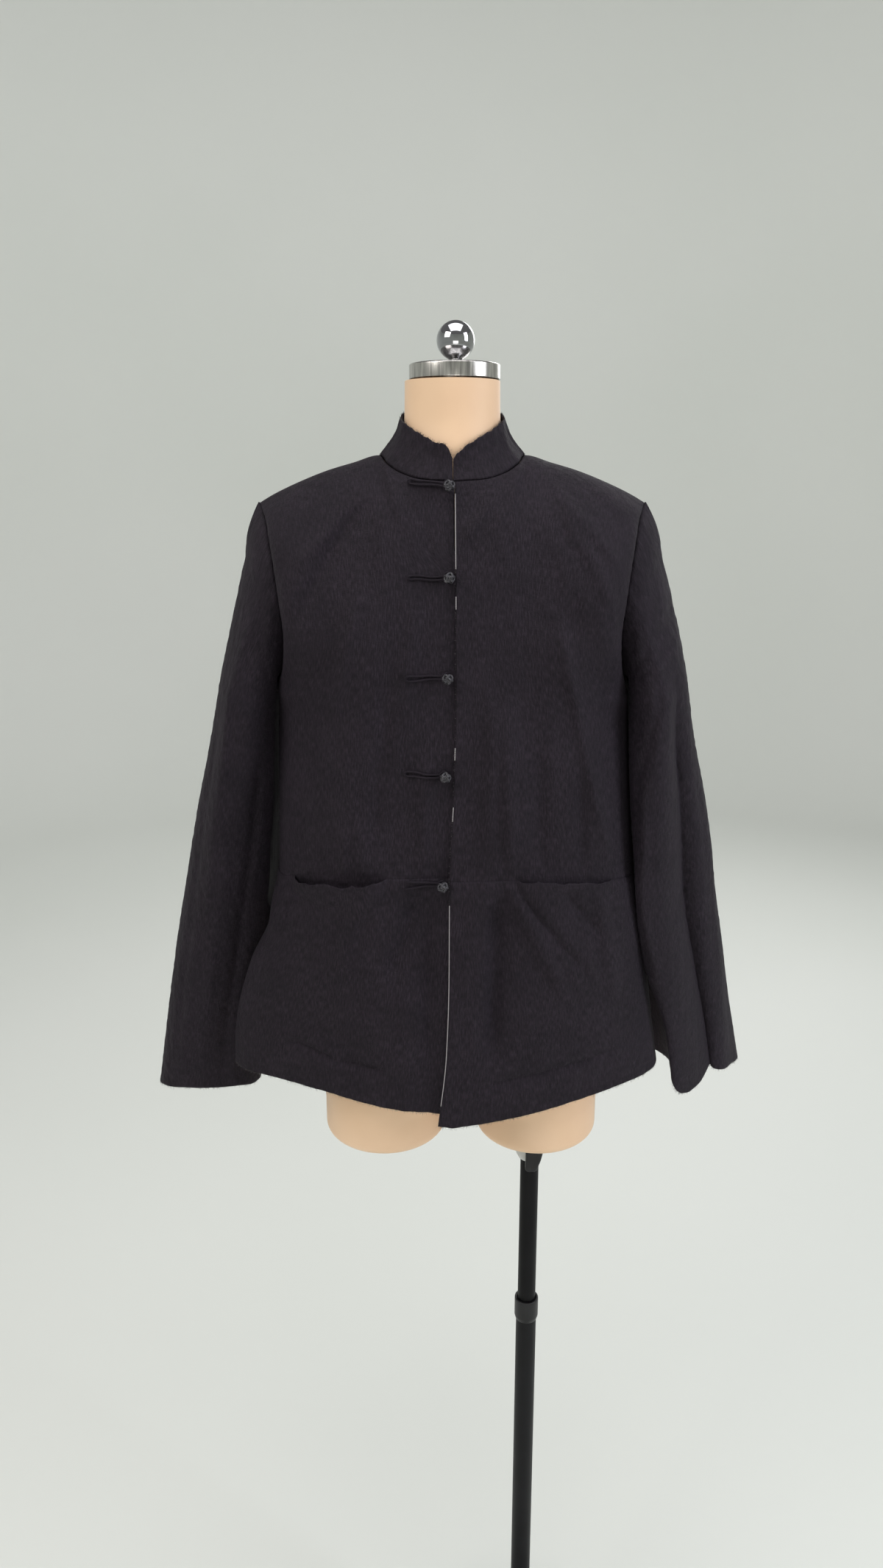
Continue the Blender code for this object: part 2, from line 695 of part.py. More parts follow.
def neckline(angle):
    """The neck seam at an angle from the centre front, 180 at the centre back."""
    turn = np.abs(angle)
    front = turn <= 90.0
    x = NECK_HALF * np.sin(np.radians(turn))
    z = np.where(front, table(FRONT_TOP, x, 1), table(BACK_TOP, x, 1))
    y = np.where(front, -table(FRONT_TOP, x, 2), table(BACK_TOP, x, 2))
    return np.stack([x * np.sign(angle + 1e-9), y, z], axis=-1)


def collar(collection, parent, offset):
    """A stand collar from the neck seam up to a nearer, higher ring, open at the front."""
    half = 180.0 * (np.arange(COLLAR_COLUMNS) / (COLLAR_COLUMNS - 1)) ** 1.25 + 0.3
    angles = np.concatenate([-half, half[::-1][1:]])
    seam = neckline(angles)
    seam[:, 2] += SEAM_GAP + 0.0006
    turn = np.abs(angles)
    left, right = COLLAR_TOPS[1], COLLAR_TOPS[-1]
    reach = np.where(angles > 0, table(left, turn, 1), table(right, turn, 1))
    height = np.where(angles > 0, table(left, turn, 2), table(right, turn, 2))
    top = np.stack([
        reach * np.sin(np.radians(angles)) * 0.995,
        -reach * np.cos(np.radians(angles)) * 1.04,
        height,
    ], axis=-1)
    rows = []
    for i in range(COLLAR_ROWS + 1):
        share = i / COLLAR_ROWS
        row = seam * (1.0 - share) + top * share
        outward = row[:, :2] / np.linalg.norm(row[:, :2], axis=1, keepdims=True)
        row[:, :2] -= outward * 0.0035 * math.sin(math.pi * share)
        rows.append(row)
    points = np.array(rows)[:, ::-1]
    obj = sheet_object("collar", points, wall=COLLAR_CLOTH)
    place(obj, collection, "black_cotton", parent, offset)


# --- knots, tails and loops ----------------------------------------------------------------
def front_face(x, z):
    """Depth of the right front's outer face at this place, found by halving its levels."""
    kind = "below" if z < UNDERARM else "above"
    low, high = 0.0, 1.0
    for _ in range(24):
        middle = (low + high) / 2
        half, _nominal = row_half((kind, middle), -1)
        lift = UNDER_FRONT_LIFT if kind == "below" else 0.0
        point = body_row(np.array([-x / half]), (kind, middle), -1, -1, lift)
        if point[0, 2] < z:
            low = middle
        else:
            high = middle
    return float(layered(point, -1)[0, 1])


def tube(name, route, radius, sides, collection, finish, parent, offset):
    """A round cord along the route, as a curve with a bevel and filled caps."""
    curve = bpy.data.curves.new(name, "CURVE")
    curve.dimensions = "3D"
    curve.bevel_depth = radius
    curve.bevel_resolution = sides
    curve.use_fill_caps = True
    spline = curve.splines.new("POLY")
    spline.points.add(len(route) - 1)
    for point, at in zip(spline.points, route):
        point.co = (*at, 1.0)
    obj = bpy.data.objects.new(name, curve)
    return place(obj, collection, finish, parent, offset)


def knots(collection, parent, offset):
    """Each knot is a ball of cord, with a hairpin tail on the right front and a loop round it."""
    for number, (z, x, slant) in enumerate(KNOTS, start=1):
        face = front_face(x, z)
        centre = np.array([x, face - KNOT_LIFT - (CLOTH + LAYER_GAP) * (z < WAIST_SEAM), z])
        bm = bmesh.new()
        bmesh.ops.create_icosphere(bm, subdivisions=2, radius=KNOT_RADIUS)
        for vert in bm.verts:
            bulge = 1.0 + 0.05 * math.sin(vert.co.x * 900.0 + vert.co.z * 700.0)
            vert.co = vert.co * bulge
        bmesh.ops.translate(bm, verts=bm.verts, vec=centre.tolist())
        mesh = mesh_from_bmesh(f"knot_{number}", bm)
        mesh.shade_smooth()
        ball = bpy.data.objects.new(f"knot_{number}", mesh)
        place(ball, collection, "knot_cord", parent, offset)
        tail_and_loop(number, centre, slant, collection, parent, offset)


def tail_and_loop(number, centre, slant, collection, parent, offset):
    lift = CORD_RADIUS + TAIL_GAP
    if centre[2] < WAIST_SEAM:
        lift += CLOTH + LAYER_GAP
    if number == 1:
        lift += TAIL_NECK_LIFT
    start = KNOT_RADIUS * 0.86
    upper, lower = [], []
    for step in range(5):
        run = start + TAIL_LENGTH * step / 4.0
        x = centre[0] - run
        z = centre[2] + slant * (run - start)
        y = front_face(x, z) - lift
        upper.append((x, y, z + TAIL_HALF_GAP))
        lower.append((x, y, z - TAIL_HALF_GAP))
    x, y, z = upper[-1]
    bend = (x - 0.0012, y, z - TAIL_HALF_GAP)
    route = upper + [bend] + lower[::-1]
    tube(f"tail_{number}", route, CORD_RADIUS, 1, collection, "black_cotton", parent, offset)
    radius = KNOT_RADIUS + 0.0010
    height = centre[1] + 0.0034
    loop = []
    for step in range(7):
        angle = math.radians(100.0 + 160.0 * step / 6.0)
        loop.append((centre[0] + radius * math.cos(angle), height, centre[2] + radius * math.sin(angle)))
    tube(f"loop_{number}", loop, CORD_RADIUS * 0.8, 1, collection, "black_cotton", parent, offset)


# --- the dress form ------------------------------------------------------------------------
FORM_NECK_COLUMNS = 4
FORM_SIDE_COLUMNS = 6


def form_quarter(facing, side):
    """A quarter of the torso from the hips to the neck and shoulder seam, centre to side."""
    shares = panel_shares(0.0, FORM_NECK_COLUMNS, FORM_SIDE_COLUMNS)
    top = FRONT_TOP if facing < 0 else BACK_TOP
    rows = []
    depth_column = 2 if facing < 0 else 3
    for z in np.linspace(FORM_SECTIONS[-1, 0], FORM_SECTIONS[0, 0], 7):
        half = table(FORM_SECTIONS, z, 1)
        reach = table(FORM_SECTIONS, z, depth_column)
        lean = 0.012 * smooth(-z, 0.35, 0.60)
        x = shares * half
        depth = reach * np.sqrt(np.maximum(1.0 - shares**2, 0.0))
        rows.append(np.stack([x * side + lean, facing * depth, np.full_like(x, z)], axis=-1))
    reach = FORM_SECTIONS[0, depth_column]
    for _, value in upper_levels(6):
        half = FORM_SECTIONS[0, 1] + (0.184 - FORM_SECTIONS[0, 1]) * value**2
        top_x = shares * 0.184
        neck = shares <= shares[FORM_NECK_COLUMNS] + 1e-6
        top_z = table(top, top_x * NECK_HALF / (shares[FORM_NECK_COLUMNS] * 0.184) * neck
                      + top_x * (~neck), 1) - FORM_CLEARANCE
        top_z = top_z - 0.010 * smooth(shares, 0.80, 1.0)
        near_neck = 1.0 - smooth(np.abs(shares - shares[FORM_NECK_COLUMNS]), 0.0, 0.16)
        top_z = top_z - 0.0035 * near_neck
        neck_depth = table(top, top_x * neck * NECK_HALF / (shares[FORM_NECK_COLUMNS] * 0.184)
                           + top_x * (~neck), 2)
        top_depth = np.maximum(neck_depth - 0.012, 0.0) * neck
        z = UNDERARM + (top_z - UNDERARM) * value
        full = reach * np.sqrt(np.maximum(1.0 - shares**2, 0.0))
        bend = 1.0 / (1.0 + smooth(shares, 0.1, 0.4))
        keep = np.maximum(1.0 - value**2.6, 0.0) ** bend
        depth = top_depth * (1.0 - keep) + full * keep * 0.97
        x = shares * half
        rows.append(np.stack([x * side, facing * depth, z], axis=-1))
    return np.array(rows)


def torso(collection, parent, offset):
    """Torso, neck and thigh stubs as one closed skin, lofted ring by ring."""
    bm = bmesh.new()
    quarters = [form_quarter(f, s) for f, s in ((-1, 1), (1, 1), (1, -1), (-1, -1))]
    front_l, back_l, back_r, front_r = quarters
    ring_rows = np.concatenate([
        front_l, back_l[:, ::-1][:, 1:], back_r[:, 1:], front_r[:, ::-1][:, 1:-1],
    ], axis=1)
    count = ring_rows.shape[1]
    verts = [[bm.verts.new(p) for p in row] for row in ring_rows]
    for lower, upper in zip(verts, verts[1:]):
        for j in range(count):
            k = (j + 1) % count
            bm.faces.new((lower[j], lower[k], upper[k], upper[j]))
    n = FORM_NECK_COLUMNS
    quarter = FORM_NECK_COLUMNS + FORM_SIDE_COLUMNS
    top = verts[-1]
    neck_index = list(range(0, n + 1)) + list(range(2 * quarter - n, 2 * quarter + n + 1))
    neck_index += list(range(4 * quarter - n, 4 * quarter))
    loop = [top[i] for i in neck_index]
    seam = [v for i, v in enumerate(top) if i not in neck_index]
    previous = loop
    for reach, z in ((0.0530, 0.030), (0.0485, 0.060), (0.0478, CAP_BOTTOM - SEAM_GAP)):
        ring = []
        for vert in loop:
            angle = math.atan2(vert.co.x, -vert.co.y)
            ring.append(bm.verts.new((reach * math.sin(angle), -reach * math.cos(angle), z)))
        lifted = 0.020 if z == 0.030 else 0.0
        for vert in ring:
            if lifted:
                vert.co.z += lifted * (vert.co.y > 0.0) * vert.co.y / reach
        for j in range(len(loop)):
            k = (j + 1) % len(loop)
            bm.faces.new((previous[j], previous[k], ring[k], ring[j]))
        previous = ring
    bm.faces.new(previous)
    thigh_stubs(bm, verts[0], quarter)
    bmesh.ops.remove_doubles(bm, verts=bm.verts, dist=0.00005)
    bmesh.ops.recalc_face_normals(bm, faces=bm.faces)
    bmesh.ops.triangulate(bm, faces=[f for f in bm.faces if len(f.verts) > 4])
    mesh = mesh_from_bmesh("torso", bm)
    mesh.shade_smooth()
    place(bpy.data.objects.new("torso", mesh), collection, "cream_cover", parent, offset)


def thigh_stubs(bm, hip, quarter):
    """Splits the hip ring along a crotch line into two round stubs with flat ends."""
    front, rear = hip[0], hip[2 * quarter]
    crotch = []
    for share in (0.25, 0.5, 0.75):
        y = front.co.y * (1 - share) + rear.co.y * share
        crotch.append(bm.verts.new((0.012, y, front.co.z - 0.004 * math.sin(math.pi * share))))
    left = hip[: 2 * quarter + 1] + crotch[::-1]
    right = hip[2 * quarter:] + [front] + crotch
    for loop, (middle, radius) in ((left, THIGHS["left"]), (right, THIGHS["right"])):
        previous = loop
        for share, z in ((0.55, -0.665), (1.0, -0.700), (1.0, THIGH_END + 0.006), (0.94, THIGH_END)):
            ring = []
            for vert in loop:
                angle = math.atan2(vert.co.x - middle, -vert.co.y)
                goal_x = middle + radius * math.sin(angle) * min(share + 0.0, 1.0)
                goal_y = -THIGH_DEPTH * math.cos(angle) * min(share, 1.0)
                if share == 0.55:
                    goal_x = vert.co.x * 0.45 + (middle + radius * math.sin(angle)) * 0.55
                    goal_y = vert.co.y * 0.45 - THIGH_DEPTH * math.cos(angle) * 0.55
                ring.append(bm.verts.new((goal_x, goal_y, z)))
            for j in range(len(loop)):
                k = (j + 1) % len(loop)
                bm.faces.new((previous[j], previous[k], ring[k], ring[j]))
            previous = ring
        bm.faces.new(previous)


def turned(name, profile, steps, collection, finish, parent, offset):
    """A profile in the XZ plane turned about the Z axis by a Screw modifier."""
    mesh = bpy.data.meshes.new(name)
    edges = [(i, i + 1) for i in range(len(profile) - 1)]
    if profile[0][0] > 0.0 and profile[0] != profile[-1]:
        edges.append((len(profile) - 1, 0))
    mesh.from_pydata([(r, 0.0, z) for r, z in profile], edges, [])
    obj = bpy.data.objects.new(name, mesh)
    screw = obj.modifiers.new("turn", "SCREW")
    screw.steps = steps
    screw.render_steps = steps
    screw.use_merge_vertices = True
    screw.merge_threshold = 0.00005
    screw.use_smooth_shade = True
    return place(obj, collection, finish, parent, offset)


def neck_cap_and_ball(collection, parent, offset):
    edge = 0.002
    top = CAP_BOTTOM + CAP_THICKNESS
    cap = [
        (0.0, top), (CAP_RADIUS - edge, top), (CAP_RADIUS, top - edge),
        (CAP_RADIUS, CAP_BOTTOM + edge), (CAP_RADIUS - edge, CAP_BOTTOM), (0.0, CAP_BOTTOM),
    ]
    x, y, z = offset
    turned("neck_cap", cap, 32, collection, "chrome", parent, (x + 0.002, y, z))
    ball = [(0.0, BALL_HEIGHT + BALL_RADIUS)]
    for i in range(1, 11):
        angle = math.pi * i / 11.4
        ball.append((BALL_RADIUS * math.sin(angle), BALL_HEIGHT + BALL_RADIUS * math.cos(angle)))
    foot = top + SEAM_GAP
    ball += [(STEM_RADIUS, foot), (0.0, foot)]
    turned("neck_ball", ball, 16, collection, "chrome", parent, (x + 0.003, y, z))


# --- the stand -----------------------------------------------------------------------------
def stand(collection, ground, mast_empty, form_empty, form_height):
    """Base, lower tube and ferrule; the mast that slides in them; the bush and its lever."""
    edge = 0.002
    base = [
        (0.0, BASE_THICKNESS), (BASE_RADIUS - edge, BASE_THICKNESS), (BASE_RADIUS, BASE_THICKNESS - edge),
        (BASE_RADIUS, 0.0), (0.0, 0.0),
    ]
    turned("base", base, 48, collection, "black_steel", ground, (0.0, 0.0, 0.0))
    foot = BASE_THICKNESS + SEAM_GAP
    tube_profile = [(TUBE_RADIUS, TUBE_TOP), (TUBE_RADIUS, foot), (TUBE_BORE, foot), (TUBE_BORE, TUBE_TOP)]
    turned("lower_tube", tube_profile, 20, collection, "black_steel", ground, (0.0, 0.0, 0.0))
    lip = TUBE_TOP + SEAM_GAP
    grip = TUBE_RADIUS + SEAM_GAP
    ferrule = [
        (TUBE_BORE, FERRULE_TOP), (FERRULE_RADIUS - 0.0015, FERRULE_TOP), (FERRULE_RADIUS, FERRULE_TOP - 0.003),
        (FERRULE_RADIUS, FERRULE_BOTTOM + 0.005), (grip + 0.0004, FERRULE_BOTTOM), (grip, FERRULE_BOTTOM),
        (grip, lip), (TUBE_BORE, lip),
    ]
    turned("ferrule", ferrule, 20, collection, "black_plastic", ground, (0.0, 0.0, 0.0))
    bush_top = NECK_LEVEL + THIGH_END - SEAM_GAP
    mast_top = bush_top - BUSH_ROOF - SEAM_GAP
    mast = [(0.0, mast_top), (MAST_RADIUS, mast_top), (MAST_RADIUS, MAST_FOOT), (0.0, MAST_FOOT)]
    turned("mast", mast, 20, collection, "black_steel", mast_empty, (0.0, 0.0, -mast_empty.location.z))
    bottom = bush_top - BUSH_HEIGHT
    bore = MAST_RADIUS + 0.0004
    bush = [
        (0.0, bush_top), (BUSH_RADIUS, bush_top), (BUSH_RADIUS, bottom + 0.006),
        (BUSH_RADIUS - 0.003, bottom), (bore, bottom), (bore, mast_top + SEAM_GAP), (0.0, mast_top + SEAM_GAP),
    ]
    turned("bush", bush, 24, collection, "grey_plastic", form_empty, (0.0, 0.0, -form_height))
    clamp_lever(collection, form_empty, bush_top - form_height)


LEVER_WIDTH = 0.020
LEVER_LENGTH = 0.032
LEVER_THICKNESS = 0.009
LEVER_DROP = 0.026  # of the lever's pivot below the thigh's flat end


def clamp_lever(collection, form_empty, top):
    """A flat thumb lever with a bevelled side, in front of the bush."""
    bm = bmesh.new()
    bmesh.ops.create_cube(bm, size=1.0)
    bmesh.ops.scale(bm, verts=bm.verts, vec=(LEVER_WIDTH, LEVER_THICKNESS, LEVER_LENGTH))
    for vert in bm.verts:
        if vert.co.z < 0:
            vert.co.x *= 0.72
            vert.co.x -= 0.003
    y = -(BUSH_RADIUS + 0.0004 + LEVER_THICKNESS / 2)
    z = top - LEVER_DROP - LEVER_LENGTH * 0.28
    bmesh.ops.translate(bm, verts=bm.verts, vec=(0.003, y, z))
    mesh = mesh_from_bmesh("clamp_lever", bm)
    obj = bpy.data.objects.new("clamp_lever", mesh)
    bevel = obj.modifiers.new("edges", "BEVEL")
    bevel.width = 0.0025
    bevel.segments = 2
    place(obj, collection, "black_plastic", form_empty)


def make_empty(name, collection, location, parent=None):
    empty = bpy.data.objects.new(name, None)
    collection.objects.link(empty)
    empty.parent = parent
    empty.location = location
    return empty


def main():
    clear_scene()
    collection = make_collection("tang_jacket_on_form")
    ground = make_empty("ground", collection, (0.0, 0.0, 0.0))
    height_axis = make_empty("height_axis", collection, (0.0, 0.0, TUBE_TOP), ground)
    turn_height = NECK_LEVEL + THIGH_END - TUBE_TOP
    turn_axis = make_empty("turn_axis", collection, (0.0, 0.0, turn_height), height_axis)
    # The jacket's and the form's pieces count their heights from the neck level.
    offset = (-MAST_OFFSET, 0.0, -THIGH_END)
    fronts(collection, turn_axis, offset)
    pockets(collection, turn_axis, offset)
    back(collection, turn_axis, offset)
    sleeves(collection, turn_axis, offset)
    collar(collection, turn_axis, offset)
    knots(collection, turn_axis, offset)
    torso(collection, turn_axis, offset)
    neck_cap_and_ball(collection, turn_axis, offset)
    stand(collection, ground, height_axis, turn_axis, NECK_LEVEL + THIGH_END)


main()
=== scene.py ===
"""Dresses the tang jacket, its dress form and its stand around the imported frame.

Lengths are in metres.  The tables count heights from the jacket's neck seam and widths from its
centre plane; to_row() moves such points into the row frame, where the mast's axis is the Z axis.
"""

import math

import bmesh
import bpy
import numpy as np
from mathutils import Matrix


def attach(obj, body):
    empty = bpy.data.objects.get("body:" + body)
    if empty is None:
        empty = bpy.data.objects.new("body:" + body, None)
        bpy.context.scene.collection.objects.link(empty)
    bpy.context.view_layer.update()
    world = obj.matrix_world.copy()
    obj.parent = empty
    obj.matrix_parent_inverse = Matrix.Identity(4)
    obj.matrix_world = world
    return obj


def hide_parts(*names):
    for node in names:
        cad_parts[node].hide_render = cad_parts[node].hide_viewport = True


bl_info = {
    "name": "Tang jacket on a dress form",
    "version": (1, 0, 0),
    "blender": (4, 5, 0),
    "location": "3D View > Sidebar > Tang jacket",
    "description": "Builds the jacket's cloth, knot buttons, dress form, stand and studio",
    "category": "Object",
}

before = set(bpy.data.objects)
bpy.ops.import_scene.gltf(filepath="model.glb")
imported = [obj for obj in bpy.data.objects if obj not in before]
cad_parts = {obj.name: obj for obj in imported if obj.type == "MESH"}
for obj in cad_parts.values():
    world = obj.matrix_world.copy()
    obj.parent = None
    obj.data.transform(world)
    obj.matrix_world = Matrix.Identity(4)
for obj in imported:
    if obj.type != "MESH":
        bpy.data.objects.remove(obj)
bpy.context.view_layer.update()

# --- measures shared with the solids -------------------------------------------------------
MAST_OFFSET = 0.095  # from the form's centre plane to the mast
NECK_LEVEL = 1.630
HEM, UNDERARM, WAIST_SEAM, SLIT_TOP = -0.665, -0.215, -0.391, -0.420
SEAM_GAP, CLOTH, LAYER_GAP, LAP_GAP = 0.0003, 0.0016, 0.0005, 0.0010
NECK_HALF, SHOULDER_HALF, SHOULDER_END = 0.0745, 0.198, -0.022
THIGH_END = -0.740
LIFT = (-MAST_OFFSET, 0.0, NECK_LEVEL)

BODY_SECTIONS = np.array([
    # z,      left,  right, front, back,  power
    [-0.665, 0.243, 0.236, 0.130, 0.124, 1.85],
    [-0.560, 0.226, 0.214, 0.128, 0.121, 2.05],
    [-0.460, 0.211, 0.197, 0.125, 0.118, 2.40],
    [-0.390, 0.202, 0.190, 0.123, 0.116, 2.60],
    [-0.300, 0.193, 0.187, 0.119, 0.114, 2.50],
    [-0.215, 0.187, 0.184, 0.113, 0.112, 2.30],
])
SHOULDER_SEAM = [
    # x,     z,       depth
    [0.0745, 0.0250, 0.0000],
    [0.100, 0.0180, 0.0000],
    [0.126, 0.0105, 0.0000],
    [0.163, -0.0040, 0.0000],
    [0.185, -0.0145, 0.0000],
    [0.198, -0.0220, 0.0000],
]
FRONT_TOP = np.array([
    # x,     z,       forward
    [0.000, -0.0010, 0.0720],
    [0.030, 0.0010, 0.0670],
    [0.052, 0.0075, 0.0500],
    [0.066, 0.0165, 0.0300],
    *SHOULDER_SEAM,
])
BACK_TOP = np.array([
    # x,     z,       backward
    [0.000, 0.0450, 0.0600],
    [0.036, 0.0425, 0.0540],
    [0.060, 0.0350, 0.0340],
    *SHOULDER_SEAM,
])
ARMHOLE = np.array([
    # rise, x,     forward, backward
    [0.00, 0.1860, 0.000, 0.000],
    [0.06, 0.1810, 0.020, 0.022],
    [0.18, 0.1730, 0.043, 0.050],
    [0.33, 0.1700, 0.056, 0.066],
    [0.50, 0.1730, 0.060, 0.070],
    [0.66, 0.1775, 0.055, 0.064],
    [0.80, 0.1830, 0.043, 0.050],
    [0.92, 0.1890, 0.025, 0.030],
    [1.00, 0.1980, 0.000, 0.000],
])
LAP_EDGE = np.array([
    [-0.665, -0.0146], [-0.580, -0.0060], [-0.500, -0.0035], [-0.390, -0.0030],
    [-0.300, 0.0010], [-0.200, 0.0030], [0.000, 0.0020],
])
UNDERLAP = np.array([[-0.665, 0.022], [-0.090, 0.022], [-0.062, -0.0008], [0.000, -0.0008]])
HEM_RISE = np.array([
    # share, left, right, waist down
    [0.00, 0.000, 0.000, 0.000],
    [0.35, 0.011, 0.008, 0.001],
    [0.60, 0.020, 0.016, 0.006],
    [0.85, 0.026, 0.020, 0.017],
    [1.00, 0.027, 0.020, 0.027],
])
BACK_HEM_LIFT, UNDER_FRONT_LIFT, WAIST_DROOP_REACH = 0.012, 0.013, 0.100
BACK_CORNER_DROPS = {1: 0.010, -1: 0.000}  # of the back's hem at the side slits
SLIT_FLARES = {
    "front_left": np.array([
        # z,     outward, forward
        [-0.665, -0.011, 0.024],
        [-0.560, -0.007, 0.018],
        [-0.460, -0.002, 0.010],
        [-0.420, 0.000, 0.000],
    ]),
    "front_right": np.array([
        # z,     outward, forward
        [-0.665, 0.001, 0.034],
        [-0.560, 0.016, 0.040],
        [-0.510, 0.012, 0.040],
        [-0.460, 0.000, 0.036],
        [-0.440, 0.001, 0.022],
        [-0.420, 0.000, 0.000],
    ]),
    "back_left": np.array([
        # z,     outward, forward
        [-0.665, 0.017, -0.006],
        [-0.560, 0.012, -0.004],
        [-0.420, 0.000, 0.000],
    ]),
    "back_right": np.array([
        # z,     outward, forward
        [-0.665, -0.030, -0.024],
        [-0.460, -0.018, -0.024],
        [-0.420, 0.000, 0.000],
    ]),
}
# Large folds, as in the solids.
FRONT_FOLDS = np.array([
    # x0,     z0,     x1,     z1,     half,  height
    [0.100, 0.005, 0.166, -0.110, 0.011, 0.0045],
    [0.075, -0.015, 0.163, -0.165, 0.013, 0.0050],
    [0.112, -0.150, 0.158, -0.385, 0.016, 0.0085],
    [0.090, -0.110, 0.108, -0.360, 0.014, 0.0045],
    [0.046, -0.200, 0.068, -0.385, 0.013, 0.0045],
    [0.052, -0.400, 0.046, -0.600, 0.015, -0.0060],
    [0.078, -0.400, 0.150, -0.520, 0.014, 0.0045],
    [0.056, -0.020, 0.026, -0.090, 0.013, 0.0030],
    [-0.078, -0.110, -0.125, -0.370, 0.018, 0.0080],
    [-0.085, -0.020, -0.145, -0.150, 0.014, -0.0040],
    [-0.090, -0.330, -0.090, -0.390, 0.011, 0.0050],
    [-0.050, -0.250, -0.060, -0.385, 0.015, -0.0035],
    [-0.026, -0.400, -0.050, -0.520, 0.022, -0.0080],
    [-0.145, -0.400, -0.180, -0.500, 0.012, -0.0060],
    [-0.150, -0.560, -0.080, -0.600, 0.012, -0.0035],
])
BACK_FOLDS = np.array([
    # x0,     z0,     x1,     z1,     half,  height
    [0.110, -0.090, 0.165, -0.230, 0.015, 0.0055],
    [-0.105, -0.080, -0.160, -0.220, 0.015, 0.0060],
    [0.060, -0.180, 0.095, -0.480, 0.020, 0.0060],
    [-0.055, -0.200, -0.085, -0.520, 0.020, 0.0065],
    [0.012, -0.300, 0.004, -0.600, 0.022, -0.0060],
    [0.125, -0.360, 0.150, -0.600, 0.018, -0.0060],
    [-0.130, -0.380, -0.150, -0.610, 0.018, -0.0055],
])
# Finer creases, which the solids leave out.
FRONT_CREASES = np.array([
    # x0,     z0,     x1,     z1,     half,  height
    [0.103, -0.137, 0.164, -0.386, 0.0050, 0.0018],
    [0.088, 0.008, 0.166, -0.083, 0.0045, 0.0014],
    [0.100, -0.013, 0.160, -0.125, 0.0060, 0.0013],
    [0.128, 0.000, 0.178, -0.055, 0.0040, -0.0010],
    [0.038, -0.211, 0.037, -0.385, 0.0060, 0.0012],
    [0.053, -0.226, 0.059, -0.381, 0.0055, 0.0013],
    [0.084, -0.250, 0.088, -0.388, 0.0060, -0.0010],
    [0.128, -0.290, 0.132, -0.388, 0.0045, -0.0010],
    [0.043, -0.004, 0.012, -0.058, 0.0045, 0.0012],
    [0.051, -0.396, 0.043, -0.596, 0.0055, -0.0016],
    [0.041, -0.408, 0.038, -0.585, 0.0040, -0.0010],
    [0.058, -0.396, 0.122, -0.527, 0.0050, 0.0014],
    [0.064, -0.397, 0.147, -0.510, 0.0040, -0.0011],
    [0.110, -0.400, 0.150, -0.455, 0.0050, -0.0010],
    [0.150, -0.400, 0.178, -0.540, 0.0060, 0.0012],
    [0.036, -0.618, 0.171, -0.598, 0.0040, -0.0011],
    [0.172, -0.160, 0.150, -0.240, 0.0050, -0.0011],
    [-0.091, -0.104, -0.151, -0.365, 0.0055, 0.0017],
    [-0.110, -0.338, -0.112, -0.396, 0.0040, 0.0013],
    [-0.094, -0.022, -0.157, -0.137, 0.0060, -0.0013],
    [-0.070, 0.004, -0.150, -0.080, 0.0050, 0.0010],
    [-0.035, -0.110, -0.048, -0.230, 0.0060, 0.0009],
    [-0.060, -0.180, -0.085, -0.385, 0.0050, -0.0009],
    [-0.026, -0.260, -0.030, -0.385, 0.0050, 0.0010],
    [-0.134, -0.250, -0.160, -0.388, 0.0045, -0.0011],
    [-0.167, -0.396, -0.173, -0.450, 0.0040, -0.0016],
    [-0.173, -0.450, -0.200, -0.494, 0.0045, -0.0014],
    [-0.037, -0.410, -0.065, -0.502, 0.0070, -0.0014],
    [-0.090, -0.405, -0.120, -0.500, 0.0050, 0.0011],
    [-0.020, -0.420, -0.024, -0.600, 0.0060, -0.0010],
    [-0.168, -0.584, -0.121, -0.600, 0.0035, -0.0012],
    [-0.121, -0.600, -0.069, -0.604, 0.0035, -0.0012],
])
BACK_CREASES = np.array([
    # x0,     z0,     x1,     z1,     half,  height
    [0.118, -0.070, 0.160, -0.200, 0.0055, 0.0014],
    [-0.112, -0.066, -0.158, -0.190, 0.0055, -0.0013],
    [0.040, 0.030, 0.080, -0.060, 0.0050, 0.0010],
    [-0.044, 0.028, -0.076, -0.070, 0.0045, -0.0010],
    [0.064, -0.200, 0.098, -0.470, 0.0060, 0.0013],
    [-0.060, -0.220, -0.088, -0.500, 0.0055, 0.0014],
    [0.020, -0.330, 0.008, -0.590, 0.0060, -0.0013],
    [0.150, -0.420, 0.165, -0.620, 0.0055, 0.0012],
    [-0.140, -0.400, -0.152, -0.600, 0.0055, -0.0012],
    [-0.020, -0.180, -0.010, -0.300, 0.0050, 0.0009],
])
SLEEVE_LEFT = np.array([
    # z,     tilt,  out,    back,   width,  depth, turn
    [-0.225, 0.050, 0.2162, 0.0040, 0.0338, 0.080, 3.0],
    [-0.275, 0.030, 0.2275, 0.0050, 0.0350, 0.079, 8.0],
    [-0.351, 0.014, 0.2435, 0.0060, 0.0400, 0.075, 16.0],
    [-0.437, 0.004, 0.2545, 0.0090, 0.0460, 0.071, 22.0],
    [-0.526, 0.000, 0.2750, 0.0140, 0.0430, 0.067, 26.0],
    [-0.618, 0.000, 0.2985, 0.0210, 0.0350, 0.064, 32.0],
    [-0.680, 0.000, 0.3105, 0.0230, 0.0345, 0.064, 36.0],
])
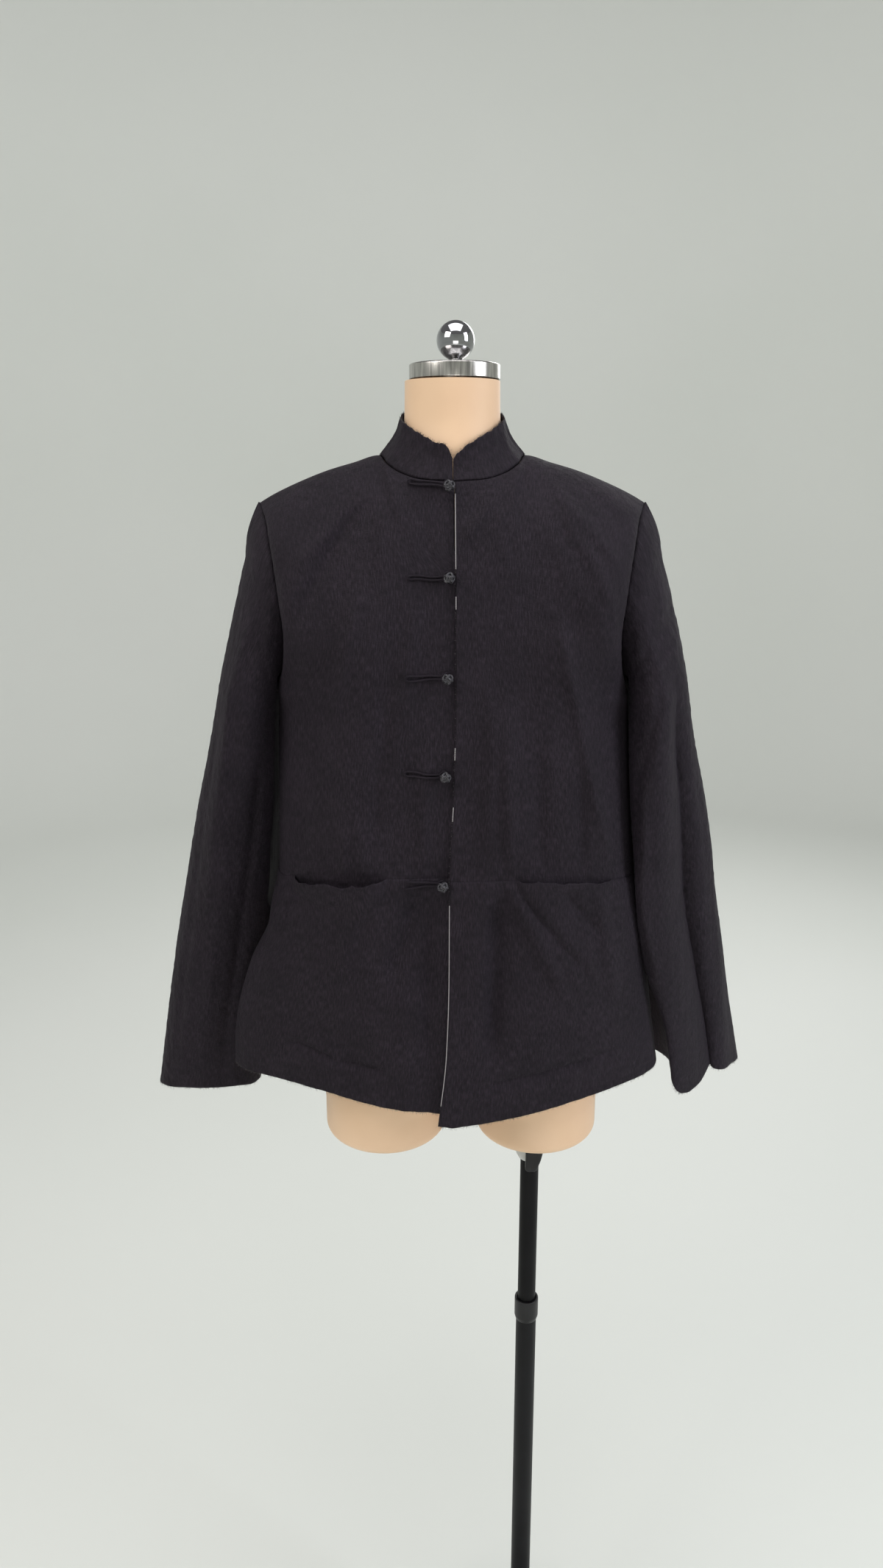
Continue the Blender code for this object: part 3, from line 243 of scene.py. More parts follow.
SLEEVE_RIGHT = np.array([
    # z,     tilt,  out,    back,   width,  depth, turn
    [-0.225, 0.050, 0.2115, 0.0040, 0.0330, 0.080, 0.0],
    [-0.275, 0.030, 0.2180, 0.0060, 0.0395, 0.078, 0.0],
    [-0.351, 0.014, 0.2315, 0.0090, 0.0465, 0.072, 0.0],
    [-0.437, 0.004, 0.2465, 0.0130, 0.0515, 0.066, 0.0],
    [-0.526, 0.000, 0.2625, 0.0170, 0.0550, 0.060, 0.0],
    [-0.618, 0.000, 0.2780, 0.0210, 0.0575, 0.054, 0.0],
    [-0.680, 0.000, 0.2870, 0.0240, 0.0600, 0.050, 0.0],
])
SLEEVE_LEFT_FOLDS = np.array([
    # a0,   z0,     a1,    z1,     half, height
    [58.0, -0.200, 50.0, -0.700, 14.0, -0.0190],
    [142.0, -0.230, 134.0, -0.720, 26.0, 0.0190],
    [98.0, -0.120, 95.0, -0.700, 18.0, 0.0060],
    [18.0, -0.350, 16.0, -0.700, 16.0, 0.0060],
    [35.0, -0.075, 105.0, -0.135, 14.0, -0.0060],
    [20.0, -0.125, 120.0, -0.190, 12.0, -0.0060],
    [300.0, -0.140, 285.0, -0.560, 18.0, -0.0060],
    [255.0, -0.330, 262.0, -0.700, 16.0, 0.0040],
])
SLEEVE_RIGHT_FOLDS = np.array([
    # a0,   z0,     a1,    z1,     half, height
    [62.0, -0.060, 72.0, -0.400, 12.0, 0.0040],
    [95.0, -0.070, 150.0, -0.190, 13.0, -0.0060],
    [120.0, -0.260, 112.0, -0.640, 20.0, -0.0040],
    [300.0, -0.120, 280.0, -0.520, 18.0, -0.0060],
    [245.0, -0.300, 250.0, -0.690, 16.0, 0.0040],
])
SLEEVE_CREASES = {
    1: np.array([
        # a0,   z0,     a1,    z1,     half, height
        [58.0, -0.200, 50.0, -0.700, 5.0, -0.0020],
        [40.0, -0.085, 100.0, -0.125, 4.0, -0.0016],
        [30.0, -0.150, 110.0, -0.195, 4.0, -0.0016],
        [80.0, -0.190, 130.0, -0.300, 4.5, -0.0014],
        [75.0, -0.060, 80.0, -0.200, 5.0, 0.0012],
        [120.0, -0.300, 112.0, -0.500, 5.0, 0.0012],
        [20.0, -0.300, 22.0, -0.560, 5.0, -0.0010],
        [300.0, -0.160, 285.0, -0.500, 5.0, -0.0014],
        [330.0, -0.100, 250.0, -0.190, 5.0, -0.0012],
    ]),
    -1: np.array([
        # a0,   z0,     a1,    z1,     half, height
        [62.0, -0.080, 74.0, -0.420, 4.5, 0.0014],
        [100.0, -0.080, 150.0, -0.180, 4.5, -0.0016],
        [110.0, -0.150, 160.0, -0.235, 4.5, -0.0014],
        [120.0, -0.280, 112.0, -0.620, 5.0, -0.0016],
        [85.0, -0.350, 88.0, -0.640, 5.5, 0.0010],
        [45.0, -0.200, 52.0, -0.600, 5.0, -0.0009],
        [300.0, -0.140, 280.0, -0.500, 5.0, -0.0014],
        [330.0, -0.100, 245.0, -0.200, 5.0, -0.0012],
    ]),
}
CUFF_LIFTS = {
    # How far the cuff's edge rises or drops: angles round the arm, and metres at them.
    1: ([0, 20, 40, 54, 66, 82, 98, 112, 126, 145, 165, 210, 260, 300, 340, 360],
        [-0.006, -0.002, 0.008, 0.009, 0.000, -0.001, 0.004, 0.012, 0.022, 0.029, 0.029, 0.016,
         -0.004, -0.015, -0.011, -0.006]),
    -1: ([0, 25, 50, 70, 90, 110, 130, 150, 165, 185, 220, 300, 360],
         [-0.014, -0.008, -0.003, 0.001, 0.002, 0.000, -0.002, -0.007, -0.008, -0.003, 0.000,
          -0.012, -0.014]),
}
POCKET_CLEARANCE, SLEEVE_CLEARANCE = 0.0030, 0.0065
CAP_BULGES = {1: 0.015, -1: 0.006}
COLLAR_TOPS = {
    # Left and right wing: angle from the centre front, outward reach and height of the top edge.
    1: np.array([
        [0.0, 0.0600, 0.0190], [3.0, 0.0600, 0.0235], [8.0, 0.0597, 0.0285], [20.0, 0.0580, 0.0365],
        [45.0, 0.0555, 0.0480], [70.0, 0.0540, 0.0570], [90.0, 0.0530, 0.0610],
        [135.0, 0.0535, 0.0740], [180.0, 0.0545, 0.0800],
    ]),
    -1: np.array([
        [0.0, 0.0600, 0.0190], [3.0, 0.0603, 0.0270], [8.0, 0.0605, 0.0340], [10.5, 0.0605, 0.0352],
        [13.0, 0.0595, 0.0340], [20.0, 0.0575, 0.0370], [45.0, 0.0555, 0.0480],
        [70.0, 0.0540, 0.0570], [90.0, 0.0530, 0.0610], [135.0, 0.0535, 0.0740], [180.0, 0.0545, 0.0800],
    ]),
}
MOUTHS = {1: (0.066, 0.165, 0.0050), -1: (-0.164, -0.067, 0.0085)}  # from, to, sag
KNOTS = np.array([
    # z,      x,       slant, spread, wave
    [-0.0045, -0.0035, 0.12, 0.0006, 0.0006],
    [-0.0898, -0.0035, -0.03, 0.0002, -0.0010],
    [-0.1853, -0.0050, 0.00, 0.0012, 0.0005],
    [-0.2820, -0.0070, 0.03, 0.0010, -0.0006],
    [-0.3945, -0.0095, 0.02, 0.0028, 0.0004],
])
FORM_SECTIONS = np.array([
    # z,     side,   front, back
    [-0.215, 0.158, 0.100, 0.098],
    [-0.300, 0.150, 0.098, 0.090],
    [-0.390, 0.147, 0.098, 0.090],
    [-0.480, 0.156, 0.100, 0.098],
    [-0.560, 0.165, 0.100, 0.104],
    [-0.630, 0.168, 0.094, 0.100],
])
THIGHS = {1: (0.0998, 0.0705), -1: (-0.0764, 0.0705)}
THIGH_DEPTH = 0.072
CAP_RADIUS, CAP_BOTTOM, CAP_THICKNESS = 0.0455, 0.0963, 0.0160
BALL_RADIUS, BALL_HEIGHT, STEM_RADIUS = 0.019, 0.1345, 0.0070
KNOT_RADIUS, KNOT_LIFT = 0.0063, 0.0082
HAIRPIN_SPREAD = 0.0020  # tails that spread less than this close in an eye
CORD_RADIUS, TAIL_LENGTH, TAIL_HALF_GAP = 0.0012, 0.032, 0.0017
MAST_RADIUS, MAST_FOOT, TUBE_RADIUS, TUBE_BORE, TUBE_TOP = 0.011, 0.200, 0.0125, 0.0114, 0.640
FERRULE_RADIUS, FERRULE_BOTTOM, FERRULE_TOP = 0.0146, 0.617, 0.647
BUSH_RADIUS, BUSH_HEIGHT = 0.0164, 0.044
BASE_RADIUS, BASE_THICKNESS = 0.170, 0.010
FACE_WALL = 0.0008  # wall of the fine cloth pieces, inside the solids' walls
COLLAR_WALL = 0.0016
ALLOWANCE, COLLAR_TURN_IN, ARMHOLE_TURN_IN = 0.0016, 0.0040, 0.0035  # seam allowances inside
FRONT_CREASE_DEPTH, SLEEVE_CREASE_DEPTH = 3.4, 1.9  # shares of the crease tables' heights
MOUTH_GAPE, MOUTH_SAG = 1.0, 0.45  # shares of the mouths' sags, outwards and down
MOUTH_POWER, MOUTH_REACH = 6, 0.075  # how square the mouths are, and how far down they gape
HEM_STITCH_RISE, HEM_STITCH_HALF, HEM_STITCH_DEPTH = 0.0085, 0.0012, 0.00035
CUFF_STITCH_RISE = 0.017
LAP_THREAD_SPANS = ((-0.083, -0.012), (-0.640, -0.415))  # heights where all of it shows
LAP_WORN_SPAN = (-0.375, -0.083)  # heights where it shows here and there
WEAVE_REACH, WEAVE_SWING, WEAVE_CORD, WEAVE_CORE = 0.0040, 0.0007, 0.0012, 0.0034
LAP_THREAD_RADIUS, STITCH_RADIUS, FIBRE_RADIUS = 0.00042, 0.00020, 0.00016
SEAM_REACH = 0.19  # a panel's half width, for the puckers beside its side seam
NECK_COLUMNS, SIDE_COLUMNS = 44, 66  # of a front's grid, before and past the neck point
WAIST_RISE = (WAIST_SEAM - HEM) / (UNDERARM - HEM) - 1.0
FORM_SHOULDER_HALF = 0.184
STUB_LEVELS, STUB_ROUND_IN, STUB_ROUND_UP = (-0.665, -0.700), 0.0115, 0.012
LEVER_DROP = 0.01896  # from the bush's top to the lever's
ROOM_BEND = 1.6  # radius of the curve between the floor and the wall
CAMERA_LENS, CAMERA_TILT = 26.0, 75.0  # millimetres, degrees
CAMERA_SHIFT, CAMERA_DISTANCE = 0.011, 1.2


# --- shape functions -----------------------------------------------------------------------
def table(rows, at, column):
    """Reads a named table's column as one smooth curve through all its rows.

    The curve is a cubic between neighbouring rows whose slope at a row is the harmonic mean of
    the slopes on its two sides, so it never overshoots a row's value.
    """
    order = np.argsort(rows[:, 0])
    x, y = rows[order, 0], rows[order, column]
    step = np.diff(x)
    rise = np.diff(y) / step
    slope = np.zeros_like(y)
    slope[0], slope[-1] = rise[0], rise[-1]
    if len(x) > 2:
        before, after = rise[:-1], rise[1:]
        alike = before * after > 0
        first, second = 2 * step[1:] + step[:-1], step[1:] + 2 * step[:-1]
        safe_before, safe_after = np.where(alike, before, 1.0), np.where(alike, after, 1.0)
        mean = (first + second) / (first / safe_before + second / safe_after)
        slope[1:-1] = np.where(alike, mean, 0.0)
    at = np.clip(at, x[0], x[-1])
    i = np.clip(np.searchsorted(x, at, side="right") - 1, 0, len(x) - 2)
    t = (at - x[i]) / step[i]
    rest = 1.0 - t
    return (
        y[i] * (1 + 2 * t) * rest**2
        + slope[i] * step[i] * t * rest**2
        + y[i + 1] * t**2 * (3 - 2 * t)
        - slope[i + 1] * step[i] * t**2 * rest
    )


def eased(rows, at, blur, column):
    """A table's column averaged over a short stretch to both sides, so that its corners soften."""
    steps = np.linspace(-1.0, 1.0, 7)
    return sum(table(rows, np.abs(at + step * blur), column) for step in steps) / len(steps)


def smooth(value, low, high):
    """0 below low, 1 above high, with a soft step between."""
    share = np.clip((value - low) / (high - low), 0.0, 1.0)
    return share * share * (3.0 - 2.0 * share)


def relief(folds, x, z):
    """Sum of the folds' heights at (x, z): a bell across each crest, faded at both its ends."""
    total = np.zeros(np.broadcast(x, z).shape)
    for x0, z0, x1, z1, half, height in folds:
        run_x, run_z = x1 - x0, z1 - z0
        length = math.hypot(run_x, run_z)
        along = ((x - x0) * run_x + (z - z0) * run_z) / length**2
        across = ((x - x0) * run_z - (z - z0) * run_x) / length
        fade = smooth(along, -0.12, 0.22) * (1.0 - smooth(along, 0.72, 1.12))
        total += height * fade * np.exp(-0.5 * (across / half) ** 2)
    return total


def crinkle(u, v, seed, size=0.020, height=0.00034):
    """The small unironed waves of washed cotton: a seeded sum of sines of falling size."""
    rng = np.random.default_rng(seed)
    total = np.zeros(np.broadcast(u, v).shape)
    for octave in range(14):
        length = size * 0.88**octave
        turn = rng.uniform(0.0, math.pi)
        phase, bend = rng.uniform(0.0, 2 * math.pi, 2)
        across = (u * math.cos(turn) + v * math.sin(turn)) / length
        along = (v * math.cos(turn) - u * math.sin(turn)) / length
        total += 0.88**octave * np.sin(2 * math.pi * across + phase + 1.6 * np.sin(along * 2.1 + bend))
    return height * total / 2.4


def pucker(distance, along, reach=0.007, pitch=0.011, height=0.00035):
    """Small gathers beside a stitched seam: ripples along it that die off with distance."""
    ripple = np.sin(2 * math.pi * along / pitch) + 0.6 * np.sin(2 * math.pi * along / (pitch * 1.63) + 1.0)
    return height * np.exp(-((distance / reach) ** 2)) * (0.6 * ripple - 1.2)


def outward_normals(points, flip=False):
    """Unit normals of a grid: the cross product of its steps along rows and up columns."""
    normals = np.cross(np.gradient(points, axis=1), np.gradient(points, axis=0))
    normals /= np.maximum(np.linalg.norm(normals, axis=-1, keepdims=True), 1e-12)
    return -normals if flip else normals


# --- meshes --------------------------------------------------------------------------------
def to_row(points):
    """From the jacket's own heights and centre plane to the row frame."""
    return np.asarray(points) + np.array(LIFT)


def fill_mesh(name, points, faces, uvs=None):
    """A mesh object from whole arrays of points, faces of three or four corners and UVs."""
    mesh = bpy.data.meshes.new(name)
    mesh.vertices.add(len(points))
    mesh.vertices.foreach_set("co", np.ascontiguousarray(points, np.float32).ravel())
    corners = faces.shape[1]
    mesh.loops.add(faces.size)
    mesh.polygons.add(len(faces))
    mesh.loops.foreach_set("vertex_index", np.ascontiguousarray(faces, np.int32).ravel())
    mesh.polygons.foreach_set("loop_start", np.arange(0, faces.size, corners, dtype=np.int32))
    mesh.update(calc_edges=True)
    mesh.validate()
    if uvs is not None:
        layer = mesh.uv_layers.new(name="UVMap")
        layer.data.foreach_set("uv", np.ascontiguousarray(uvs, np.float32).ravel())
    mesh.shade_smooth()
    obj = bpy.data.objects.new(name, mesh)
    bpy.context.scene.collection.objects.link(obj)
    return obj


def grid_quads(rows, columns, closed=False, flip=False):
    """Corner numbers of a grid's faces, with the last column joined to the first if closed."""
    i, j = np.meshgrid(np.arange(rows - 1), np.arange(columns if closed else columns - 1), indexing="ij")
    k = (j + 1) % columns
    quads = np.stack([i * columns + j, i * columns + k, (i + 1) * columns + k, (i + 1) * columns + j], -1)
    quads = quads.reshape(-1, 4)
    return quads[:, ::-1] if flip else quads


def lay_surface(name, points, closed=False, flip=False):
    """A grid of points as a smooth surface, with UVs in metres measured along its middle lines."""
    rows, columns = points.shape[:2]
    ring = np.concatenate([points, points[:, :1]], axis=1) if closed else points
    across = np.linalg.norm(np.diff(ring, axis=1), axis=-1).mean(axis=0)
    up = np.linalg.norm(np.diff(points, axis=0), axis=-1).mean(axis=1)
    u = np.concatenate([[0.0], np.cumsum(across)])
    v = np.concatenate([[0.0], np.cumsum(up)])
    i, j = np.meshgrid(np.arange(rows - 1), np.arange(len(u) - 1), indexing="ij")
    corners = [(i, j), (i, j + 1), (i + 1, j + 1), (i + 1, j)]
    uvs = np.stack([np.stack([u[b], v[a]], -1) for a, b in corners], axis=2).reshape(-1, 4, 2)
    if flip:
        uvs = uvs[:, ::-1]
    faces = grid_quads(rows, columns, closed, flip)
    return fill_mesh(name, to_row(points.reshape(-1, 3)), faces, uvs)


def sweep(route, radius, sides=8, closed=False):
    """Points of a round tube along a route: circles square to it, turned so as not to twist."""
    route = np.asarray(route, float)
    if closed:
        tangent = np.roll(route, -1, axis=0) - np.roll(route, 1, axis=0)
    else:
        tangent = np.gradient(route, axis=0)
    tangent /= np.maximum(np.linalg.norm(tangent, axis=1, keepdims=True), 1e-12)
    guide = np.array([0.13, -0.31, 0.94])
    side = np.cross(tangent, guide)
    side /= np.maximum(np.linalg.norm(side, axis=1, keepdims=True), 1e-9)
    other = np.cross(tangent, side)
    turn = np.arange(sides) * 2 * math.pi / sides
    radius = np.broadcast_to(radius, len(route))[:, None, None]
    ring = side[:, None] * np.cos(turn)[None, :, None] + other[:, None] * np.sin(turn)[None, :, None]
    return route[:, None] + ring * radius


def tube_parts(route, radius, sides=8, closed=False):
    """Points and faces of a tube; an open one gets its ends drawn in to points."""
    route = np.asarray(route, float)
    if closed:
        points = sweep(route, radius, sides, True)
        rows = len(points)
        i, j = np.meshgrid(np.arange(rows), np.arange(sides), indexing="ij")
        n, k = (i + 1) % rows, (j + 1) % sides
        faces = np.stack([i * sides + j, i * sides + k, n * sides + k, n * sides + j], -1).reshape(-1, 4)
        return points.reshape(-1, 3), faces
    radius = np.broadcast_to(radius, len(route)).astype(float)
    route = np.concatenate([route[:1], route, route[-1:]])
    radius = np.concatenate([radius[:1] * 0.02, radius, radius[-1:] * 0.02])
    tangent_safe = route.copy()
    tangent_safe[0] -= (route[2] - route[1]) * 1e-3
    tangent_safe[-1] += (route[-2] - route[-3]) * 1e-3
    points = sweep(tangent_safe, radius, sides)
    return points.reshape(-1, 3), grid_quads(len(points), sides, True)


def merged(parts):
    """Several (points, faces) pairs as one pair of arrays."""
    points, faces, start = [], [], 0
    for at, corners in parts:
        points.append(at)
        faces.append(corners + start)
        start += len(at)
    return np.concatenate(points), np.concatenate(faces)


def join_parts(name, parts):
    """Several (points, faces) pairs as one object, moved to the row frame."""
    points, faces = merged(parts)
    return fill_mesh(name, to_row(points), faces)


def outward(obj):
    """Recalculates the faces of a closed piece so that they all point outwards."""
    shape = bmesh.new()
    shape.from_mesh(obj.data)
    bmesh.ops.remove_doubles(shape, verts=shape.verts, dist=1e-6)
    bmesh.ops.recalc_face_normals(shape, faces=shape.faces)
    shape.to_mesh(obj.data)
    shape.free()
    obj.data.shade_smooth()
    return obj


def finish_piece(obj, body, finish, nodes):
    """Gives a piece its material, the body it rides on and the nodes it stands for."""
    obj.data.materials.append(finish)
    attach(obj, body)
    if nodes:
        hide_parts(*nodes)


def lay_cloth(name, points, thickness=FACE_WALL, **grid):
    """A cloth piece: its outer face with a wall that grows inwards, on the form's body."""
    obj = lay_surface("cloth_" + name, points, **grid)
    wall = obj.modifiers.new("wall", "SOLIDIFY")
    wall.thickness = thickness
    wall.offset = -1.0
    wall.use_even_offset = False
    finish_piece(obj, "form", black_cotton(), [name])


def lay_cords(name, parts, finish, nodes=()):
    """Tubes and fibres joined as one piece of cord or thread, on the form's body."""
    finish_piece(outward(join_parts(name, parts)), "form", finish, nodes)


# --- the jacket's body ---------------------------------------------------------------------
def body_surface(share, rise, facing, side, hem_lift=0.0, creases=None):
    """Points of the body's outer face, from two arrays of shares and rises.

    A share runs from 0 at the centre to 1 at the side seam.  A rise runs from -1 at the hem to
    0 at the underarm and 1 at the neckline and shoulder seam.  Below the underarm a row is a
    quarter of a boxy oval, |x/half|^p + |y/reach|^p = 1; above it each column bends over to the
    top edge along an arc.  facing is -1 for the front, side is +1 for the jacket's left.
    """
    share, rise = np.broadcast_arrays(share, rise)
    top = FRONT_TOP if facing < 0 else BACK_TOP
    folds = FRONT_FOLDS if facing < 0 else BACK_FOLDS
    away = np.abs(share)
    reach_column, depth_column = (3, 2) if facing < 0 else (4, 3)
    side_column = 1 if side > 0 else 2
    low = np.clip(rise + 1.0, 0.0, 1.0)
    nominal = HEM + (UNDERARM - HEM) * low
    z_low = nominal + hem_lift * (1.0 - low) ** 2
    if facing < 0:
        waist = np.exp(-(((nominal - WAIST_SEAM) / WAIST_DROOP_REACH) ** 2)) * low**0.3
        z_low = z_low + table(HEM_RISE, away, side_column) * (1.0 - low) ** 2
        z_low = z_low - table(HEM_RISE, away, 3) * waist
    half_low = table(BODY_SECTIONS, nominal, side_column)
    reach = table(BODY_SECTIONS, nominal, reach_column)
    power = table(BODY_SECTIONS, nominal, 5)
    depth_low = reach * np.maximum(1.0 - away**power, 0.0) ** (1.0 / power)

    high = np.clip(rise, 0.0, 1.0)
    half_high = table(ARMHOLE, high, 1)
    top_x = away * SHOULDER_HALF
    blur = 0.030 * smooth(1.0 - high, 0.0, 0.45)
    top_z, top_depth = (eased(top, top_x, blur, column) for column in (1, 2))
    z_high = UNDERARM + (top_z - UNDERARM) * high
    reach = BODY_SECTIONS[-1, reach_column]
    power = BODY_SECTIONS[-1, 5]
    full = reach * np.maximum(1.0 - away**power, 0.0) ** (1.0 / power)
    bend = 1.0 / (1.0 + smooth(away, 0.1, 0.4))
    keep = np.maximum(1.0 - high**2.4, 0.0) ** bend
    edge = table(ARMHOLE, high, depth_column) * away**3
    depth_high = top_depth * (1.0 - keep) + full * keep + edge
    # Above the underarm the section's own taper dies off softly, so that no line shows there.
    step = BODY_SECTIONS[-1] - BODY_SECTIONS[-2]
    taper = step[reach_column] / step[0]
    lifted = z_high - UNDERARM
    depth_high = depth_high + taper * lifted * np.exp(-lifted / 0.035) * (1.0 - away**2)

    above = rise > 0.0
    half = np.where(above, half_high, half_low)
    z = np.where(above, z_high, z_low)
    depth = np.where(above, depth_high, depth_low)
    settle = np.where(above, 1.0 - smooth(high, 0.80, 0.98), 1.0)
    x = share * half * side
    inside = 1.0 - smooth(away, 0.86, 1.0)
    depth = depth + relief(folds, x, z) * settle * inside
    if creases is not None:
        depth = depth + FRONT_CREASE_DEPTH * relief(creases, x, z) * settle * inside
    depth = depth + crinkle(x, z, 11 + facing) * (0.35 + 0.65 * inside)
    return np.stack([x, facing * (depth + SEAM_GAP / 2), z], axis=-1)


def panel_shares(near_neck, near_side):
    """Column positions from the centre to the side, one of them exactly at the neck point."""
    middle = math.asin(NECK_HALF / SHOULDER_HALF)
    first = np.linspace(0.0, middle, near_neck + 1)
    second = np.linspace(middle, math.pi / 2, near_side + 1)[1:]
    return np.sin(np.concatenate([first, second])), near_neck


def free_edge(points, share, flare):
    """Moves a panel's side edge where it hangs free below the slit's top."""
    z = points[..., 2]
    weight = np.abs(share)[None, :] ** 6
    points = points.copy()
    points[..., 0] += np.sign(points[..., 0]) * table(flare, z, 1) * weight
    points[..., 1] -= table(flare, z, 2) * weight
    return points


def front_surface(side, rises):
    """The outer face of a front at these rises, from its lap edge to the side seam."""
    shares, neck = panel_shares(NECK_COLUMNS, SIDE_COLUMNS)
    slide = np.maximum(1.0 - shares / shares[neck], 0.0)
    low = np.clip(rises + 1.0, 0.0, 1.0)
    high = np.clip(rises, 0.0, 1.0)
    nominal = np.where(rises > 0.0, UNDERARM * (1.0 - high), HEM + (UNDERARM - HEM) * low)
    half = np.where(
        rises > 0.0, table(ARMHOLE, high, 1), table(BODY_SECTIONS, nominal, 1 if side > 0 else 2)
    )
    edge = table(LAP_EDGE, nominal, 1)
    if side < 0:
        edge = edge + table(UNDERLAP, nominal, 1)
    share = shares[None, :] + slide[None, :] * (edge * side / half)[:, None]
    lift = UNDER_FRONT_LIFT if side < 0 else 0.0
    points = body_surface(share, rises[:, None], -1, side, lift, FRONT_CREASES)
    name = "front_left" if side > 0 else "front_right"
    points = free_edge(points, shares, SLIT_FLARES[name])
    if side < 0:
        under = smooth(points[..., 0], -0.055, -0.022)
        deep = 1.0 - smooth(points[..., 2], WAIST_SEAM - 0.002, WAIST_SEAM + 0.030)
        throat = 1.0 - smooth(points[..., 2], -0.028, -0.006)
        points[..., 1] += under * throat * (CLOTH + LAP_GAP + (CLOTH + LAYER_GAP) * deep)
    return points


def rises_above(count):
    """Rises from the underarm up, closer together towards the shoulder."""
    return np.sin(np.linspace(0.0, math.pi / 2, count + 1)[1:])


def sewn(points, shares, side):
    """Draws the cloth in along the side seam above the slit's top, with small puckers."""
    y, z = points[..., 1], points[..., 2]
    to_side = (1.0 - np.abs(shares))[None, :] * SEAM_REACH
    dip = pucker(to_side, z, 0.006) * smooth(z, SLIT_TOP - 0.01, SLIT_TOP)
    points[..., 0] += side * dip * 0.5
    points[..., 1] += np.sign(-y) * -dip * 0.4
    return points


def soften(points, shares, reach=12, spread=0.055):
    """Evens a panel's depth across the underarm, away from its side seam.

    Each row's depth is averaged with its neighbours', the nearer the heavier, and the share of
    that average fades with the height's distance from the underarm.
    """
    rows = np.arange(len(points))
    total, weights = np.zeros(points.shape[:2]), 0.0
    for step in range(-reach, reach + 1):
        weight = 1.0 - abs(step) / (reach + 1)
        total += weight * points[np.clip(rows + step, 0, rows[-1]), :, 1]
        weights += weight
    near = np.exp(-(((points[..., 2] - UNDERARM) / spread) ** 2))
    near *= 1.0 - smooth(np.abs(shares)[None], 0.95, 1.0)
    points[..., 1] += near * (total / weights - points[..., 1])
    return points


def build_fronts():
    """Both fronts: the left one laps over the right one down the centre."""
    rises = np.concatenate([np.linspace(-1.0, 0.0, 156), rises_above(84)])
    shares, _ = panel_shares(NECK_COLUMNS, SIDE_COLUMNS)
    for side, name in ((1, "front_left"), (-1, "front_right")):
        points = soften(sewn(front_surface(side, rises), shares, side), shares)
        lay_cloth(name, points, flip=side < 0)


def build_pockets():
    """Lower patch panels on the fronts, sewn up to the waist seam beside their sagging mouths."""
    for side, name in ((1, "pocket_left"), (-1, "pocket_right")):
        points = front_surface(side, np.linspace(-1.0, WAIST_RISE, 120))
        normals = outward_normals(points, flip=side < 0)
        low, high, sag = MOUTHS[side]
        x, z = points[..., 0], points[..., 2]
        off = (x - (low + high) / 2) / ((high - low) / 2)
        bell = np.clip(1.0 - off**MOUTH_POWER, 0.0, 1.0)
        near_top = smooth(z, WAIST_SEAM - MOUTH_REACH, WAIST_SEAM)
        gape = bell * near_top**2
        from_top = np.linspace(WAIST_SEAM - HEM, 0.0, points.shape[0])[:, None]
        sewn_in = (1.0 - smooth(from_top, 0.0, 0.010)) * (1.0 - smooth(bell, 0.0, 0.12))
        lift = CLOTH + LAYER_GAP - (CLOTH + LAYER_GAP - 0.0009) * sewn_in + MOUTH_GAPE * sag * gape
        lift = lift + pucker(from_top, x, 0.009, 0.013, 0.00030) * (1.0 - bell)
        from_stitch = (z - points[0, :, 2][None, :] - HEM_STITCH_RISE) / HEM_STITCH_HALF
        lift = lift - HEM_STITCH_DEPTH * np.exp(-(from_stitch**2))
        points = points + normals * lift[..., None]
        points[..., 2] -= MOUTH_SAG * sag * bell * near_top
        lay_cloth(name, points, flip=side < 0)


def back_surface(rises):
    """The back's outer face at these rises: its left half, the centre and its right half."""
    shares, _ = panel_shares(28, 46)
    halves = []
    for side, name in ((1, "back_left"), (-1, "back_right")):
        points = body_surface(shares[None, :], rises[:, None], 1, side, BACK_HEM_LIFT, BACK_CREASES)
        points = free_edge(points, shares, SLIT_FLARES[name])
        corner = np.abs(shares)[None] ** 4 * (1.0 - smooth(points[..., 2], HEM, HEM + 0.10))
        points[..., 2] -= BACK_CORNER_DROPS[side] * corner
        halves.append(soften(sewn(points, shares, side), shares))
    left, right = halves
    return np.concatenate([left[:, ::-1], right[:, 1:]], axis=1)


def build_back():
    """The back, cut in one piece."""
    rises = np.concatenate([np.linspace(-1.0, 0.0, 120), rises_above(64)])
    lay_cloth("back", back_surface(rises))


# --- sleeves and collar --------------------------------------------------------------------
def armhole_loop(angles):
    """Points of the armhole round the sleeve's angles: 0 at the shoulder's end, 90 in front."""
    turn = angles % 360.0
    rise = 0.5 * (1.0 + np.cos(np.radians(turn)))
    y = np.where(turn <= 180.0, -table(ARMHOLE, rise, 2), table(ARMHOLE, rise, 3))
    z = UNDERARM + (SHOULDER_END - UNDERARM) * rise
    return np.stack([table(ARMHOLE, rise, 1), y, z], axis=-1)


def sleeve_rings(rows, z, angles):
    """Tilted, turned oval rings at these heights, on the jacket's left.

    A ring is x = out + w cos a cos t - d sin a sin t, y = back + w cos a sin t - d sin a cos t,
    with the width w, depth d and turn t read from the sleeve's table.
    """
    tilt, out, shift, width, depth, turn = (table(rows, z, c)[:, None] for c in range(1, 7))
    a = np.radians(angles)[None, :]
    swing = np.radians(turn)
    u, v = width * np.cos(a), depth * np.sin(a)
    x = out + u * np.cos(swing) - v * np.sin(swing)
    y = shift + u * np.sin(swing) - v * np.cos(swing)
    return np.stack([x, y, z[:, None] + tilt * 0.5 * np.cos(a)], axis=-1)


